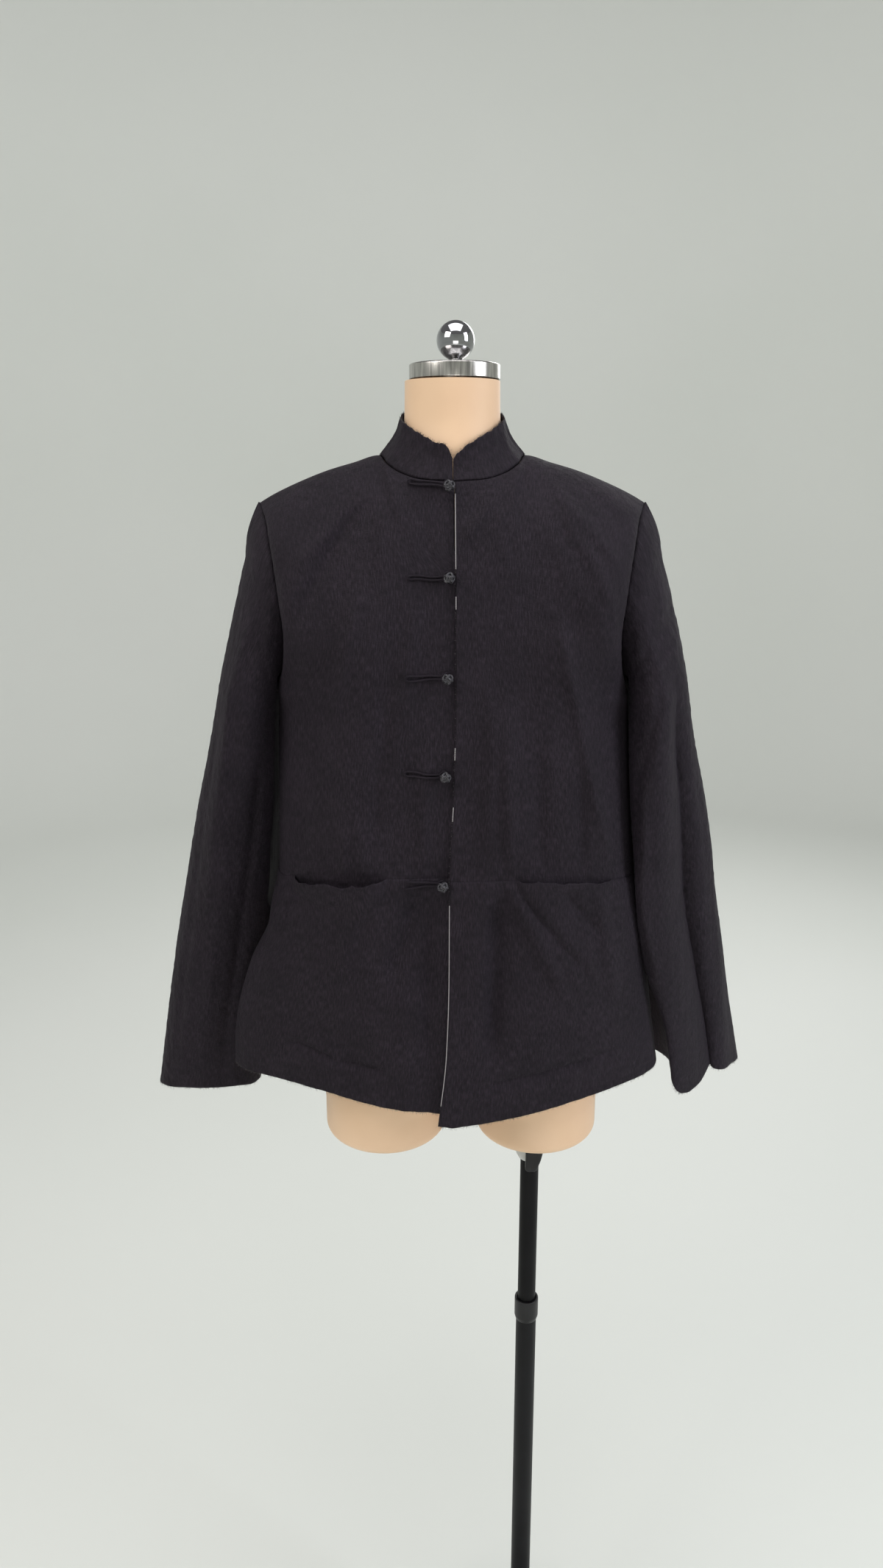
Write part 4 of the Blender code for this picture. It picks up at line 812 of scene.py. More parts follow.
def turned_relief(folds, turn, height):
    """Sum of a sleeve's folds: bells round the arm that run down it between two heights."""
    amount = np.zeros(turn.shape)
    for a0, z0, a1, z1, half, rise in folds:
        along = (height - z0) / (z1 - z0)
        middle = a0 + (a1 - a0) * np.clip(along, 0.0, 1.0)
        off = (turn - middle + 180.0) % 360.0 - 180.0
        fade = smooth(along, -0.10, 0.20) * (1.0 - smooth(along, 0.95, 1.25))
        amount += rise * fade * np.exp(-0.5 * (off / half) ** 2)
    return amount


def body_side(y, z, side):
    """How far the body's plain section reaches sideways at this depth and height."""
    half = table(BODY_SECTIONS, z, 1 if side > 0 else 2)
    reach = np.where(y < 0, table(BODY_SECTIONS, z, 3), table(BODY_SECTIONS, z, 4))
    power = table(BODY_SECTIONS, z, 5)
    return half * np.maximum(1.0 - np.abs(y / reach) ** power, 0.0) ** (1.0 / power)


def sleeve_surface(side, around=160, over_cap=36, down=160):
    """Rings from the armhole over the sleeve's cap and down to the cuff."""
    rows = SLEEVE_LEFT if side > 0 else SLEEVE_RIGHT
    folds = SLEEVE_LEFT_FOLDS if side > 0 else SLEEVE_RIGHT_FOLDS
    angles = np.arange(around) * 360.0 / around
    start = armhole_loop(angles)
    low = np.maximum(-np.cos(np.radians(angles)), 0.0)
    start[:, 0] += 0.0011 + 0.0016 * np.minimum(2.0 * low, 1.0)
    first = sleeve_rings(rows, rows[:1, 0], angles)[0]
    outer = np.maximum(np.cos(np.radians(angles)), 0.0)
    share = np.linspace(0.0, 1.0, over_cap, endpoint=False)[:, None, None]
    cap = start[None] * (1.0 - share) + first[None] * share
    share = share[..., 0]
    cap[..., 0] += CAP_BULGES[side] * share * (1.0 - share) * (0.35 + 0.65 * outer)[None]
    cap[..., 0] += 0.0035 * np.sin(np.pi * np.clip(share / 0.30, 0.0, 1.0)) * (0.3 + 0.7 * outer)[None]
    z = np.linspace(rows[0, 0], rows[-1, 0], down)
    points = np.concatenate([cap, sleeve_rings(rows, z, angles)])
    away = points - points.mean(axis=1, keepdims=True)
    away[..., 2] = 0.0
    away /= np.maximum(np.linalg.norm(away, axis=-1, keepdims=True), 1e-9)
    turn = np.broadcast_to(angles, points.shape[:2])
    height = points[..., 2]
    amount = turned_relief(folds, turn, height)
    amount += SLEEVE_CREASE_DEPTH * turned_relief(SLEEVE_CREASES[side], turn, height)
    ring_share = np.concatenate([share[:, 0], np.full(down, 1.0)])[:, None]
    amount *= smooth(ring_share, 0.1, 0.7)
    amount += crinkle(turn / 360.0 * 0.40, height, 30 + side) * smooth(ring_share, 0.05, 0.3)
    from_seam = ring_share * 0.10
    gathers = pucker(from_seam, turn / 360.0 * 0.5, 0.010, 0.014, 0.0005)
    points = points + away * (amount + gathers)[..., None]
    lift = np.interp(angles, *CUFF_LIFTS[side])[None] * smooth(-points[..., 2], 0.45, 0.68)
    points[..., 2] += lift
    least = body_side(points[..., 1], np.maximum(points[..., 2], HEM), side) + SLEEVE_CLEARANCE
    least += POCKET_CLEARANCE * (1.0 - smooth(points[..., 2], WAIST_SEAM, WAIST_SEAM + 0.05))
    hugging = points[..., 2] < UNDERARM + 0.02
    open_slit = 1.0 - smooth(points[..., 2], SLIT_TOP - 0.08, SLIT_TOP - 0.03)
    pushed = np.maximum(points[..., 0], least - 0.030 * open_slit * (side < 0))
    points[..., 0] = np.where(hugging, pushed, points[..., 0])
    # The seam allowance, turned in behind the armhole's edge.
    inward = points[0] - points[0].mean(axis=0)
    inward[:, 0] = 0.0
    inside = points[0] - inward * ALLOWANCE / np.linalg.norm(inward, axis=1, keepdims=True)
    points = np.concatenate([[inside - [ARMHOLE_TURN_IN, 0.0, 0.0], inside], points])
    points[..., 0] *= side
    return points


def build_sleeves():
    """The two sleeves, each set in at the armhole and hanging to its cuff."""
    for side, name in ((1, "sleeve_left"), (-1, "sleeve_right")):
        lay_cloth(name, sleeve_surface(side), closed=True, flip=side > 0)


def neckline(angle):
    """The neck seam at angles from the centre front, 180 at the centre back."""
    turn = np.abs(angle)
    front = turn <= 90.0
    x = NECK_HALF * np.sin(np.radians(turn))
    z = np.where(front, table(FRONT_TOP, x, 1), table(BACK_TOP, x, 1))
    y = np.where(front, -table(FRONT_TOP, x, 2), table(BACK_TOP, x, 2))
    return np.stack([x * np.sign(angle + 1e-9), y, z], axis=-1)


def collar_surface(columns=110, rows=22):
    """The stand collar from the neck seam to its nearer, higher, slightly wavy raw edge."""
    half = 180.0 * (np.arange(columns) / (columns - 1)) ** 1.25 + 0.3
    angles = np.concatenate([-half, half[::-1][1:]])
    seam = neckline(angles)
    seam[:, 2] += SEAM_GAP + 0.0006
    turn = np.abs(angles)
    reach, height = (
        np.where(angles > 0, table(COLLAR_TOPS[1], turn, c), table(COLLAR_TOPS[-1], turn, c))
        for c in (1, 2)
    )
    height = height + 0.0005 * np.sin(turn * 0.55) + 0.0003 * np.sin(turn * 1.7 + 1.0)
    reach = reach + 0.0005 * np.sin(turn * 0.31 + 0.5)
    top = np.stack([
        reach * np.sin(np.radians(angles)) * 0.995, -reach * np.cos(np.radians(angles)) * 1.04, height
    ], axis=-1)
    share = np.linspace(0.0, 1.0, rows)[:, None, None]
    points = seam[None] * (1.0 - share) + top[None] * share
    flat = points[..., :2] / np.linalg.norm(points[..., :2], axis=-1, keepdims=True)
    share = share[..., 0]
    hollow = 0.0035 * np.sin(np.pi * share) - crinkle(angles[None] * 0.001, share * 0.04, 51) * 0.8
    hollow = hollow + 0.0004 * np.exp(-((share / 0.06) ** 2)) * (1 + 0.4 * np.sin(angles[None] * 0.9))
    points[..., :2] -= flat * hollow[..., None]
    # The seam allowance, turned in and down behind the neckline.
    inside = points[0] - np.concatenate([flat[0], np.zeros((len(angles), 1))], axis=1) * ALLOWANCE
    points = np.concatenate([[inside - [0.0, 0.0, COLLAR_TURN_IN], inside], points])
    return points[:, ::-1]


def build_collar():
    """The doubled stand collar, open at the front, with raw edges."""
    lay_cloth("collar", collar_surface(), COLLAR_WALL)


# --- knots, tails and loops ----------------------------------------------------------------
def under_face(x, z):
    """Depth of the right front's outer face at points (x, z), read off a fine patch of it."""
    rises = np.concatenate([np.linspace(-1.0, 0.0, 120), rises_above(60)])
    patch = front_surface(-1, rises)[:, :60]
    flat = patch.reshape(-1, 3)
    off = (flat[None, :, 0] - np.ravel(x)[:, None]) ** 2 + (flat[None, :, 2] - np.ravel(z)[:, None]) ** 2
    nearest = np.argsort(off, axis=1)[:, :4]
    weight = 1.0 / (np.take_along_axis(off, nearest, axis=1) + 1e-8)
    return (flat[nearest, 1] * weight).sum(axis=1) / weight.sum(axis=1)


def knot_centre(z, x):
    """The middle of a knot at this height, in front of the right front's face."""
    face = under_face(x, z)[0]
    return np.array([x, face - KNOT_LIFT - (CLOTH + LAYER_GAP) * (z < WAIST_SEAM), z])


def ball_weave(centre, turn):
    """A ball button knot: one cord that weaves four bights round a ball in three turns.

    The cord's path is latitude = 56 sin(4t/3) degrees at longitude t, and it rides in and out
    by sin(8t/3), so that it passes over and under itself where it crosses.
    """
    t = np.linspace(0.0, 6.0 * math.pi, 300, endpoint=False)
    latitude = np.radians(56.0) * np.sin(4.0 * t / 3.0)
    reach = WEAVE_REACH + WEAVE_SWING * np.sin(8.0 * t / 3.0 + 0.8)
    x = reach * np.cos(latitude) * np.cos(t + turn)
    z = reach * np.cos(latitude) * np.sin(t + turn)
    y = -reach * np.sin(latitude) * 0.95
    lean = 0.35
    spun = np.stack([x, y * math.cos(lean) - z * math.sin(lean), y * math.sin(lean) + z * math.cos(lean)], -1)
    return tube_parts(centre + spun, WEAVE_CORD, 8, closed=True)


def small_ball(centre, radius, count=16):
    """A closed ball from rings of latitude, with its poles drawn to points."""
    latitude = np.linspace(-math.pi / 2, math.pi / 2, count)
    turn = np.arange(2 * count) * math.pi / count
    level = np.cos(latitude)[:, None]
    points = np.stack([
        level * np.cos(turn), level * np.sin(turn), np.sin(latitude)[:, None] + 0.0 * turn
    ], axis=-1)
    return (centre + radius * points).reshape(-1, 3), grid_quads(count, 2 * count, True)


def tail_routes(z, x, slant, spread, wave, lift):
    """Centre lines of a tail's cord: one hairpin, or two arms where they spread apart."""
    run = np.linspace(0.0038, 0.0054 + TAIL_LENGTH, 40)
    way = (run - run[0]) / (run[-1] - run[0])
    bend = wave * np.sin(way * math.pi * 1.7) + slant * (run - run[0])
    gap = TAIL_HALF_GAP * 0.82 + spread * way**1.5
    arms = []
    for sign in (1.0, -1.0):
        at_x, at_z = x - run, z + bend + sign * gap
        arms.append(np.stack([at_x, under_face(at_x, at_z) - lift, at_z], axis=-1))
    if spread >= HAIRPIN_SPREAD:
        return arms
    upper, lower = arms
    turn = np.linspace(math.pi / 2, -math.pi / 2, 9)[1:-1]
    middle, half = (upper[-1] + lower[-1]) / 2, (upper[-1, 2] - lower[-1, 2]) / 2
    eye = np.stack([
        middle[0] - 1.3 * half * np.cos(turn), middle[1] + 0.0 * turn, middle[2] + half * np.sin(turn)
    ], axis=-1)
    return [np.concatenate([upper, eye, lower[::-1]])]


def build_buttons():
    """Five ball knots down the lap, each with its corded tail on the right front and its loop."""
    for number, (z, x, slant, spread, wave) in enumerate(KNOTS, start=1):
        centre = knot_centre(z, x)
        parts = [ball_weave(centre, 0.9 * number), small_ball(centre, WEAVE_CORE)]
        lay_cords(f"weave_{number}", parts, knot_cord(), [f"knot_{number}"])
        stem = np.array([centre + (0.0, 0.0012 + 0.0066 * s, -0.0006 * s) for s in np.linspace(0, 1, 6)])
        lay_cords(f"shank_{number}", [tube_parts(stem, 0.0015)], black_cotton())

        lift = CORD_RADIUS * 0.9 + 0.0005
        lift += (CLOTH + LAYER_GAP) * (z < WAIST_SEAM) + 0.0012 * (number == 1)
        routes = tail_routes(z, x, slant, spread, wave, lift)
        parts = [tube_parts(route, CORD_RADIUS * 0.9, 10) for route in routes]
        lay_cords(f"tail_cord_{number}", parts, black_cotton(), [f"tail_{number}"])

        turn = np.radians(np.linspace(96.0, 268.0, 26))
        reach = KNOT_RADIUS - 0.0008
        loop = np.stack([
            centre[0] + reach * np.cos(turn), centre[1] + 0.0036 + 0.0 * turn,
            centre[2] + reach * np.sin(turn),
        ], axis=-1)
        parts = [tube_parts(loop, CORD_RADIUS * 0.8, 10)]
        lay_cords(f"loop_cord_{number}", parts, black_cotton(), [f"loop_{number}"])


# --- threads -------------------------------------------------------------------------------
def strands(roots, direction, side_way, length, seed):
    """Short curled fibres at a raw edge: thin three-sided tubes with seeded bends.

    roots, direction and side_way are arrays of points and unit vectors, one row a fibre.
    """
    rng = np.random.default_rng(seed)
    count, steps = len(roots), 5
    t = np.linspace(0.0, 1.0, steps)[None, :, None]
    reach = (length * rng.uniform(0.35, 1.25, count))[:, None, None]
    lean = rng.normal(0.0, 0.55, count)[:, None, None]
    curl = rng.normal(0.0, 0.45, count)[:, None, None]
    path = roots[:, None] + direction[:, None] * reach * t * (1.0 - 0.25 * np.abs(curl) * t)
    path = path + side_way[:, None] * reach * (lean * t + curl * t**2)
    third = np.cross(direction, side_way)
    path = path + third[:, None] * reach * (rng.normal(0.0, 0.25, count)[:, None, None] * t**2)
    turn = (np.arange(3) * 2 * math.pi / 3)[None, :, None]
    taper = FIBRE_RADIUS * (1.0 - 0.75 * t[..., 0])
    circle = side_way[:, None, :] * np.cos(turn) + third[:, None, :] * np.sin(turn)
    points = path[:, :, None] + circle[:, None] * taper[..., None, None]
    quads = grid_quads(steps, 3, True)
    faces = (quads[None] + (np.arange(count) * steps * 3)[:, None, None]).reshape(-1, 4)
    return points.reshape(-1, 3), faces


def edge_fringe(points, away, count, length, seed):
    """Fibres spread along an edge's points, each leaving the cloth in its point's direction."""
    rng = np.random.default_rng(seed)
    at = np.sort(rng.uniform(0.0, len(points) - 1.001, count))
    i = at.astype(int)
    part = (at - i)[:, None]
    roots = points[i] * (1 - part) + points[i + 1] * part
    tangent = points[i + 1] - points[i]
    tangent /= np.linalg.norm(tangent, axis=1, keepdims=True)
    direction = away[i]
    direction = direction - tangent * (direction * tangent).sum(axis=1, keepdims=True)
    direction /= np.linalg.norm(direction, axis=1, keepdims=True)
    return [strands(roots, direction, tangent, length, seed)]


def stitch_line(points, stitch=0.0026, gap=0.0016):
    """Thread stitches along a line: short tubes with gaps between them."""
    length = np.concatenate([[0.0], np.cumsum(np.linalg.norm(np.diff(points, axis=0), axis=1))])
    parts = []
    for start in np.arange(0.001, length[-1] - stitch, stitch + gap):
        at = np.linspace(start, start + stitch, 5)
        route = np.stack([np.interp(at, length, points[:, c]) for c in range(3)], axis=-1)
        parts.append(tube_parts(route, STITCH_RADIUS, 5))
    return parts


def build_threads(settings):
    """Frayed raw edges, the cuffs' stitches and the pale thread that shows along the lap's edge."""
    dark, pale, length = frayed_cotton(), pale_thread(), settings.fringe_length
    for side, name in ((1, "left"), (-1, "right")):
        rings = sleeve_surface(side, 160, 8, 150)
        cuff = np.concatenate([rings[-1], rings[-1, :1]])
        above = np.concatenate([rings[-3], rings[-3, :1]])
        fringe = edge_fringe(cuff, cuff - above, settings.cuff_strands, length, 70 + side)
        lay_cords(f"cuff_fringe_{name}", fringe, dark)
        heights = rings[..., 2] - rings[-1, :, 2][None]
        row = int(np.argmin(np.abs(heights[:, 0] - CUFF_STITCH_RISE)))
        line = rings[row] - (rings[row].mean(axis=0) - rings[row]) * 0.0035
        line = np.concatenate([line, line[:1]])
        lay_cords(f"cuff_stitches_{name}", stitch_line(line), dark)

    for side, name in ((1, "left"), (-1, "right")):
        points = front_surface(side, np.linspace(-1.0, WAIST_RISE, 60))
        hem = points[0] + outward_normals(points, flip=side < 0)[0] * CLOTH
        fringe = edge_fringe(hem, points[0] - points[2], settings.hem_strands, length, 80 + side)
        lay_cords(f"hem_fringe_{name}", fringe, dark)
    hem, above = back_surface(np.array([-1.0, -0.98]))
    lay_cords("hem_fringe_back", edge_fringe(hem, hem - above, settings.hem_strands, length, 83), dark)
    below, top = collar_surface(90, 6)[-2:]
    fringe = edge_fringe(top, top - below, settings.collar_strands, length * 0.8, 90)
    lay_cords("collar_fringe", fringe, dark)

    rises = np.concatenate([np.linspace(-1.0, 0.0, 220), rises_above(120)])
    lap = front_surface(1, rises)
    edge = lap[:, 0].copy()
    edge[:, 0] += 0.0002
    edge[:, 1] -= 0.0002 + 0.0021 * (edge[:, 2] < WAIST_SEAM)
    z = edge[:, 2]
    shown = np.any([(z > low) & (z < high) for low, high in LAP_THREAD_SPANS], axis=0)
    worn = np.sin(z * 210.0) + 0.7 * np.sin(z * 97.0 + 1.0) > 0.25
    worn &= (z >= LAP_WORN_SPAN[0]) & (z <= LAP_WORN_SPAN[1])
    parts = []
    for mask in (shown, worn):
        index = np.flatnonzero(mask)
        for group in np.split(index, np.flatnonzero(np.diff(index) > 1) + 1):
            if len(group) > 5:
                parts.append(tube_parts(edge[group], LAP_THREAD_RADIUS, 6))
    lay_cords("lap_edge_thread", parts, pale)
    sideways = np.broadcast_to([-1.0, -0.35, 0.0], edge.shape)
    lay_cords("lap_fringe", edge_fringe(edge, sideways, settings.lap_strands, length * 0.6, 95), dark)


# --- the dress form ------------------------------------------------------------------------
def form_quarter(facing, side, near_neck, near_side, low_rows, high_rows):
    """A quarter of the torso from the hips to the neck and shoulders, centre to side."""
    shares, neck_at = panel_shares(near_neck, near_side)
    top = FRONT_TOP if facing < 0 else BACK_TOP
    depth_column = 2 if facing < 0 else 3
    z = np.linspace(FORM_SECTIONS[-1, 0], FORM_SECTIONS[0, 0], low_rows)[:, None]
    oval = np.sqrt(np.maximum(1.0 - shares**2, 0.0))[None]
    lean = 0.012 * smooth(-z, 0.35, 0.60)
    x = shares[None] * table(FORM_SECTIONS, z, 1) * side + lean
    y = facing * table(FORM_SECTIONS, z, depth_column) * oval
    low = np.stack([x, y, z + 0.0 * x], axis=-1)
    reach = FORM_SECTIONS[0, depth_column]
    value = rises_above(high_rows)[:, None]
    half = FORM_SECTIONS[0, 1] + (FORM_SHOULDER_HALF - FORM_SECTIONS[0, 1]) * value**2
    neck = (np.arange(len(shares)) <= neck_at)
    top_x = shares * FORM_SHOULDER_HALF
    scaled = np.where(neck, top_x * NECK_HALF / (shares[neck_at] * FORM_SHOULDER_HALF), top_x)
    top_z = table(top, scaled, 1) - 0.0021 - 0.010 * smooth(shares, 0.80, 1.0)
    top_z -= 0.0035 * (1.0 - smooth(np.abs(shares - shares[neck_at]), 0.0, 0.16))
    top_depth = np.maximum(table(top, scaled, 2) - 0.012, 0.0) * neck
    z = UNDERARM + (top_z[None] - UNDERARM) * value
    keep = np.maximum(1.0 - value**2.6, 0.0) ** (1.0 / (1.0 + smooth(shares, 0.1, 0.4)))[None]
    depth = top_depth[None] * (1.0 - keep) + reach * oval * keep * 0.97
    high = np.stack([shares[None] * half * side, facing * depth, z], axis=-1)
    return np.concatenate([low, high])


def neck_parts(loop):
    """The neck: from the torso's top ring at the neck to the flat seat under the cap."""
    angle = np.arctan2(loop[:, 0], -loop[:, 1])
    stages = [loop]
    for reach, z, lifted in (
        (0.0530, 0.030, 0.020), (0.0485, 0.060, 0.0), (0.0478, CAP_BOTTOM - SEAM_GAP, 0.0),
    ):
        y = -reach * np.cos(angle)
        stages.append(np.stack([reach * np.sin(angle), y, z + lifted * np.maximum(y, 0.0) / reach], axis=-1))
    return closed_skin(blend_rings(np.array(stages), 40))


def thigh_parts(loop, side):
    """A thigh stub: from half the hip ring and the crotch to a flat end with a rounded rim."""
    middle, radius = THIGHS[side]
    angle = np.arctan2(loop[:, 0] - middle, -loop[:, 1])
    round_x, round_y = np.sin(angle), -np.cos(angle)
    goal = np.stack([middle + radius * round_x, THIGH_DEPTH * round_y, 0.0 * angle], axis=-1)
    mixed = loop * 0.45 + goal * 0.55
    stub = blend_rings(np.array([
        loop, at_height(mixed, STUB_LEVELS[0]), at_height(goal, STUB_LEVELS[1]),
        at_height(goal, THIGH_END + STUB_ROUND_UP),
    ]), 34)
    corner = []
    for turn in np.linspace(0.0, math.pi / 2, 9)[1:]:
        shrink = STUB_ROUND_IN * (1.0 - math.cos(turn)) / radius
        ring = goal.copy()
        ring[:, :2] = (middle, 0.0) + (goal[:, :2] - (middle, 0.0)) * (1.0 - shrink)
        corner.append(at_height(ring, THIGH_END + STUB_ROUND_UP * (1.0 - math.sin(turn))))
    return closed_skin(np.concatenate([stub, np.array(corner)]))


def closed_skin(rings):
    """Stacked rings joined round and up, and closed at the last one, as two mesh parts."""
    grid = (rings.reshape(-1, 3), grid_quads(len(rings), rings.shape[1], True))
    return [grid, closing_fan(rings[-1])]


def build_form():
    """Torso, neck and the two round-ended thigh stubs as one smooth closed skin."""
    neck_columns, side_columns = 20, 30
    front_l, back_l, back_r, front_r = (
        form_quarter(f, s, neck_columns, side_columns, 40, 44)
        for f, s in ((-1, 1), (1, 1), (1, -1), (-1, -1))
    )
    rings = np.concatenate([
        front_l, back_l[:, ::-1][:, 1:], back_r[:, 1:], front_r[:, ::-1][:, 1:-1]
    ], axis=1)
    quarter = neck_columns + side_columns
    at_neck = np.concatenate([
        np.arange(0, neck_columns + 1), np.arange(2 * quarter - neck_columns, 2 * quarter + neck_columns + 1),
        np.arange(4 * quarter - neck_columns, 4 * quarter),
    ])

    hip = rings[0]
    share = np.linspace(0.0, 1.0, 14)[1:-1]
    front, rear = hip[0], hip[2 * quarter]
    crotch = np.stack([
        np.full(len(share), 0.012), front[1] * (1 - share) + rear[1] * share,
        front[2] - 0.004 * np.sin(math.pi * share),
    ], axis=-1)
    left = np.concatenate([hip[: 2 * quarter + 1], crotch[::-1]])
    right = np.concatenate([hip[2 * quarter:], front[None], crotch])
    torso = (rings.reshape(-1, 3), grid_quads(len(rings), rings.shape[1], True))
    parts = [torso, *neck_parts(rings[-1][at_neck]), *thigh_parts(left, 1), *thigh_parts(right, -1)]
    finish_piece(outward(join_parts("form_skin", parts)), "form", cream_cover(), ["torso"])


def at_height(ring, z):
    """A copy of a ring, laid level at this height."""
    ring = ring.copy()
    ring[:, 2] = z
    return ring


def blend_rings(stages, rows):
    """Rings between the given ones, each point along one smooth curve through its stages."""
    height = np.arange(len(stages), dtype=float)
    fine = np.linspace(0.0, height[-1], rows)
    flat = stages.reshape(len(stages), -1)
    columns = [table(np.stack([height, flat[:, c]], axis=-1), fine, 1) for c in range(flat.shape[1])]
    return np.stack(columns, axis=-1).reshape(rows, -1, 3)


def closing_fan(ring):
    """A flat end: triangles from the ring to its middle."""
    points = np.concatenate([ring, ring.mean(axis=0, keepdims=True)])
    i = np.arange(len(ring))
    last = np.full(len(ring), len(ring))
    return points, np.stack([i, (i + 1) % len(ring), last, last], -1)


# --- turned pieces and the stand -----------------------------------------------------------
def rounded(profile, radius, steps=5):
    """A profile whose inner corners are rounded: each is replaced by a small curve."""
    points = [np.array(profile[0], float)]
    for before, corner, after in zip(profile, profile[1:], profile[2:]):
        before, corner, after = (np.array(p, float) for p in (before, corner, after))
        first, second = before - corner, after - corner
        reach = min(radius, np.linalg.norm(first) * 0.45, np.linalg.norm(second) * 0.45)
        start = corner + first / np.linalg.norm(first) * reach
        end = corner + second / np.linalg.norm(second) * reach
        for t in np.linspace(0.0, 1.0, steps):
            points.append(start * (1 - t) ** 2 + 2 * corner * t * (1 - t) + end * t**2)
    points.append(np.array(profile[-1], float))
    return np.array(points)


def turned(profile, centre, steps):
    """Points and faces of a (radius, height) profile turned about the vertical through the centre."""
    profile = np.asarray(profile, float)
    turn = np.arange(steps) * 2 * math.pi / steps
    points = np.stack([
        profile[:, :1] * np.cos(turn) + centre[0], profile[:, :1] * np.sin(turn) + centre[1],
        profile[:, 1:] + 0.0 * turn,
    ], axis=-1)
    return points.reshape(-1, 3), grid_quads(len(profile), steps, True)


def lathe(name, profile, centre, steps):
    """A turned piece as a closed object."""
    return outward(fill_mesh(name, *turned(profile, centre, steps)))


def build_neck_cap():
    """The turned aluminium cap on the neck and the chrome ball on its short foot."""
    low, high = NECK_LEVEL + CAP_BOTTOM, NECK_LEVEL + CAP_BOTTOM + CAP_THICKNESS
    cap = rounded([
        (0.0, high), (CAP_RADIUS - 0.0018, high), (CAP_RADIUS, high - 0.0012), (CAP_RADIUS, low + 0.0014),
        (CAP_RADIUS - 0.0016, low), (0.0, low),
    ], 0.0006)
    piece = lathe("turned_cap", cap, (-MAST_OFFSET + 0.002, 0.0), 128)
    finish_piece(piece, "form", turned_aluminium(), ["neck_cap"])
    middle = NECK_LEVEL + BALL_HEIGHT
    turn = np.linspace(0.0, math.pi * 0.875, 44)
    ball = np.stack([BALL_RADIUS * np.sin(turn), middle + BALL_RADIUS * np.cos(turn)], axis=-1)
    foot = high + SEAM_GAP
    ball = np.concatenate([ball, [[STEM_RADIUS, foot + 0.0008], [STEM_RADIUS, foot], [0.0, foot]]])
    piece = lathe("chrome_ball", ball, (-MAST_OFFSET + 0.003, 0.0), 96)
    finish_piece(piece, "form", chrome(), ["neck_ball"])


def build_stand():
    """Base, lower tube, ferrule, mast, bush and the thumb lever of its clamp."""
    foot = BASE_THICKNESS + SEAM_GAP
    lip, grip = TUBE_TOP + SEAM_GAP, TUBE_RADIUS + SEAM_GAP
    bush_top = NECK_LEVEL + THIGH_END - SEAM_GAP
    mast_top = bush_top - 0.006 - SEAM_GAP
    bottom, bore = bush_top - BUSH_HEIGHT, MAST_RADIUS + 0.0004
    for name, part, body, finish, slot, steps, radius, profile in (
        ("base_plate", "base", "stand", black_steel, "black_steel", 160, 0.0022, [
            (0.0, BASE_THICKNESS), (BASE_RADIUS, BASE_THICKNESS), (BASE_RADIUS, 0.0), (0.0, 0.0),
        ]),
        ("outer_tube", "lower_tube", "stand", black_steel, "black_steel", 64, 0.0003, [
            (TUBE_BORE, TUBE_TOP), (TUBE_RADIUS, TUBE_TOP), (TUBE_RADIUS, foot), (TUBE_BORE, foot),
            (TUBE_BORE, TUBE_TOP),
        ]),
        ("clamp_ferrule", "ferrule", "stand", black_plastic, "black_plastic", 64, 0.0008, [
            (TUBE_BORE, FERRULE_TOP), (FERRULE_RADIUS - 0.0002, FERRULE_TOP),
            (FERRULE_RADIUS, FERRULE_TOP - 0.003), (FERRULE_RADIUS, FERRULE_BOTTOM + 0.005),
            (grip + 0.0004, FERRULE_BOTTOM), (grip, FERRULE_BOTTOM), (grip, lip), (TUBE_BORE, lip),
            (TUBE_BORE, FERRULE_TOP),
        ]),
        ("inner_mast", "mast", "mast", satin_black, "black_steel", 64, 0.0006, [
            (0.0, mast_top), (MAST_RADIUS, mast_top), (MAST_RADIUS, MAST_FOOT), (0.0, MAST_FOOT),
        ]),
        ("mast_bush", "bush", "form", grey_plastic, "grey_plastic", 64, 0.0007, [
            (0.0, bush_top), (BUSH_RADIUS, bush_top), (BUSH_RADIUS, bottom + 0.006),
            (BUSH_RADIUS - 0.003, bottom), (bore, bottom), (bore, mast_top + SEAM_GAP),
            (0.0, mast_top + SEAM_GAP),
        ]),
    ):
        piece = lathe(name, rounded(profile, radius), (0.0, 0.0), steps)
        finish_piece(piece, body, finish(), [part])
    build_lever(bush_top)


def build_lever(bush_top):
    """The clamp's thumb lever: a wing lofted from rounded sections, curved forward at its tip."""
    rows = np.array([
        # down,   middle, half width, thickness
        [0.0000, 0.0030, 0.0060, 0.0050],
        [0.0015, 0.0030, 0.0092, 0.0078],
        [0.0060, 0.0032, 0.0100, 0.0086],
        [0.0150, 0.0024, 0.0092, 0.0086],
        [0.0230, 0.0010, 0.0080, 0.0078],
        [0.0290, 0.0002, 0.0068, 0.0062],
        [0.0318, 0.0000, 0.0040, 0.0036],
    ])
    down = np.linspace(0.0, 0.0318, 40)
    middle, half, thick = (table(rows, down, c)[:, None] for c in (1, 2, 3))
    turn = np.arange(40)[None] * 2 * math.pi / 40
    square = (np.abs(np.cos(turn)) ** 3 + np.abs(np.sin(turn)) ** 3) ** (-1 / 3)
    top = bush_top - LEVER_DROP
    back_face = -(BUSH_RADIUS + 0.0004)
    x = middle + half * np.cos(turn) * square
    bulge = 0.0012 * np.cos(turn) ** 2
    y = back_face - 0.0045 + thick / 2 * np.sin(turn) * square * 0.98 - bulge * (np.sin(turn) < 0)
    points = np.stack([x, np.minimum(y, back_face), top - down[:, None] + 0.0 * x], axis=-1)
    grid = (points.reshape(-1, 3), grid_quads(len(down), 40, True))
    obj = outward(fill_mesh("thumb_lever", *merged([grid, closing_fan(points[0]), closing_fan(points[-1])])))
    finish_piece(obj, "lever", black_plastic(), ["clamp_lever"])


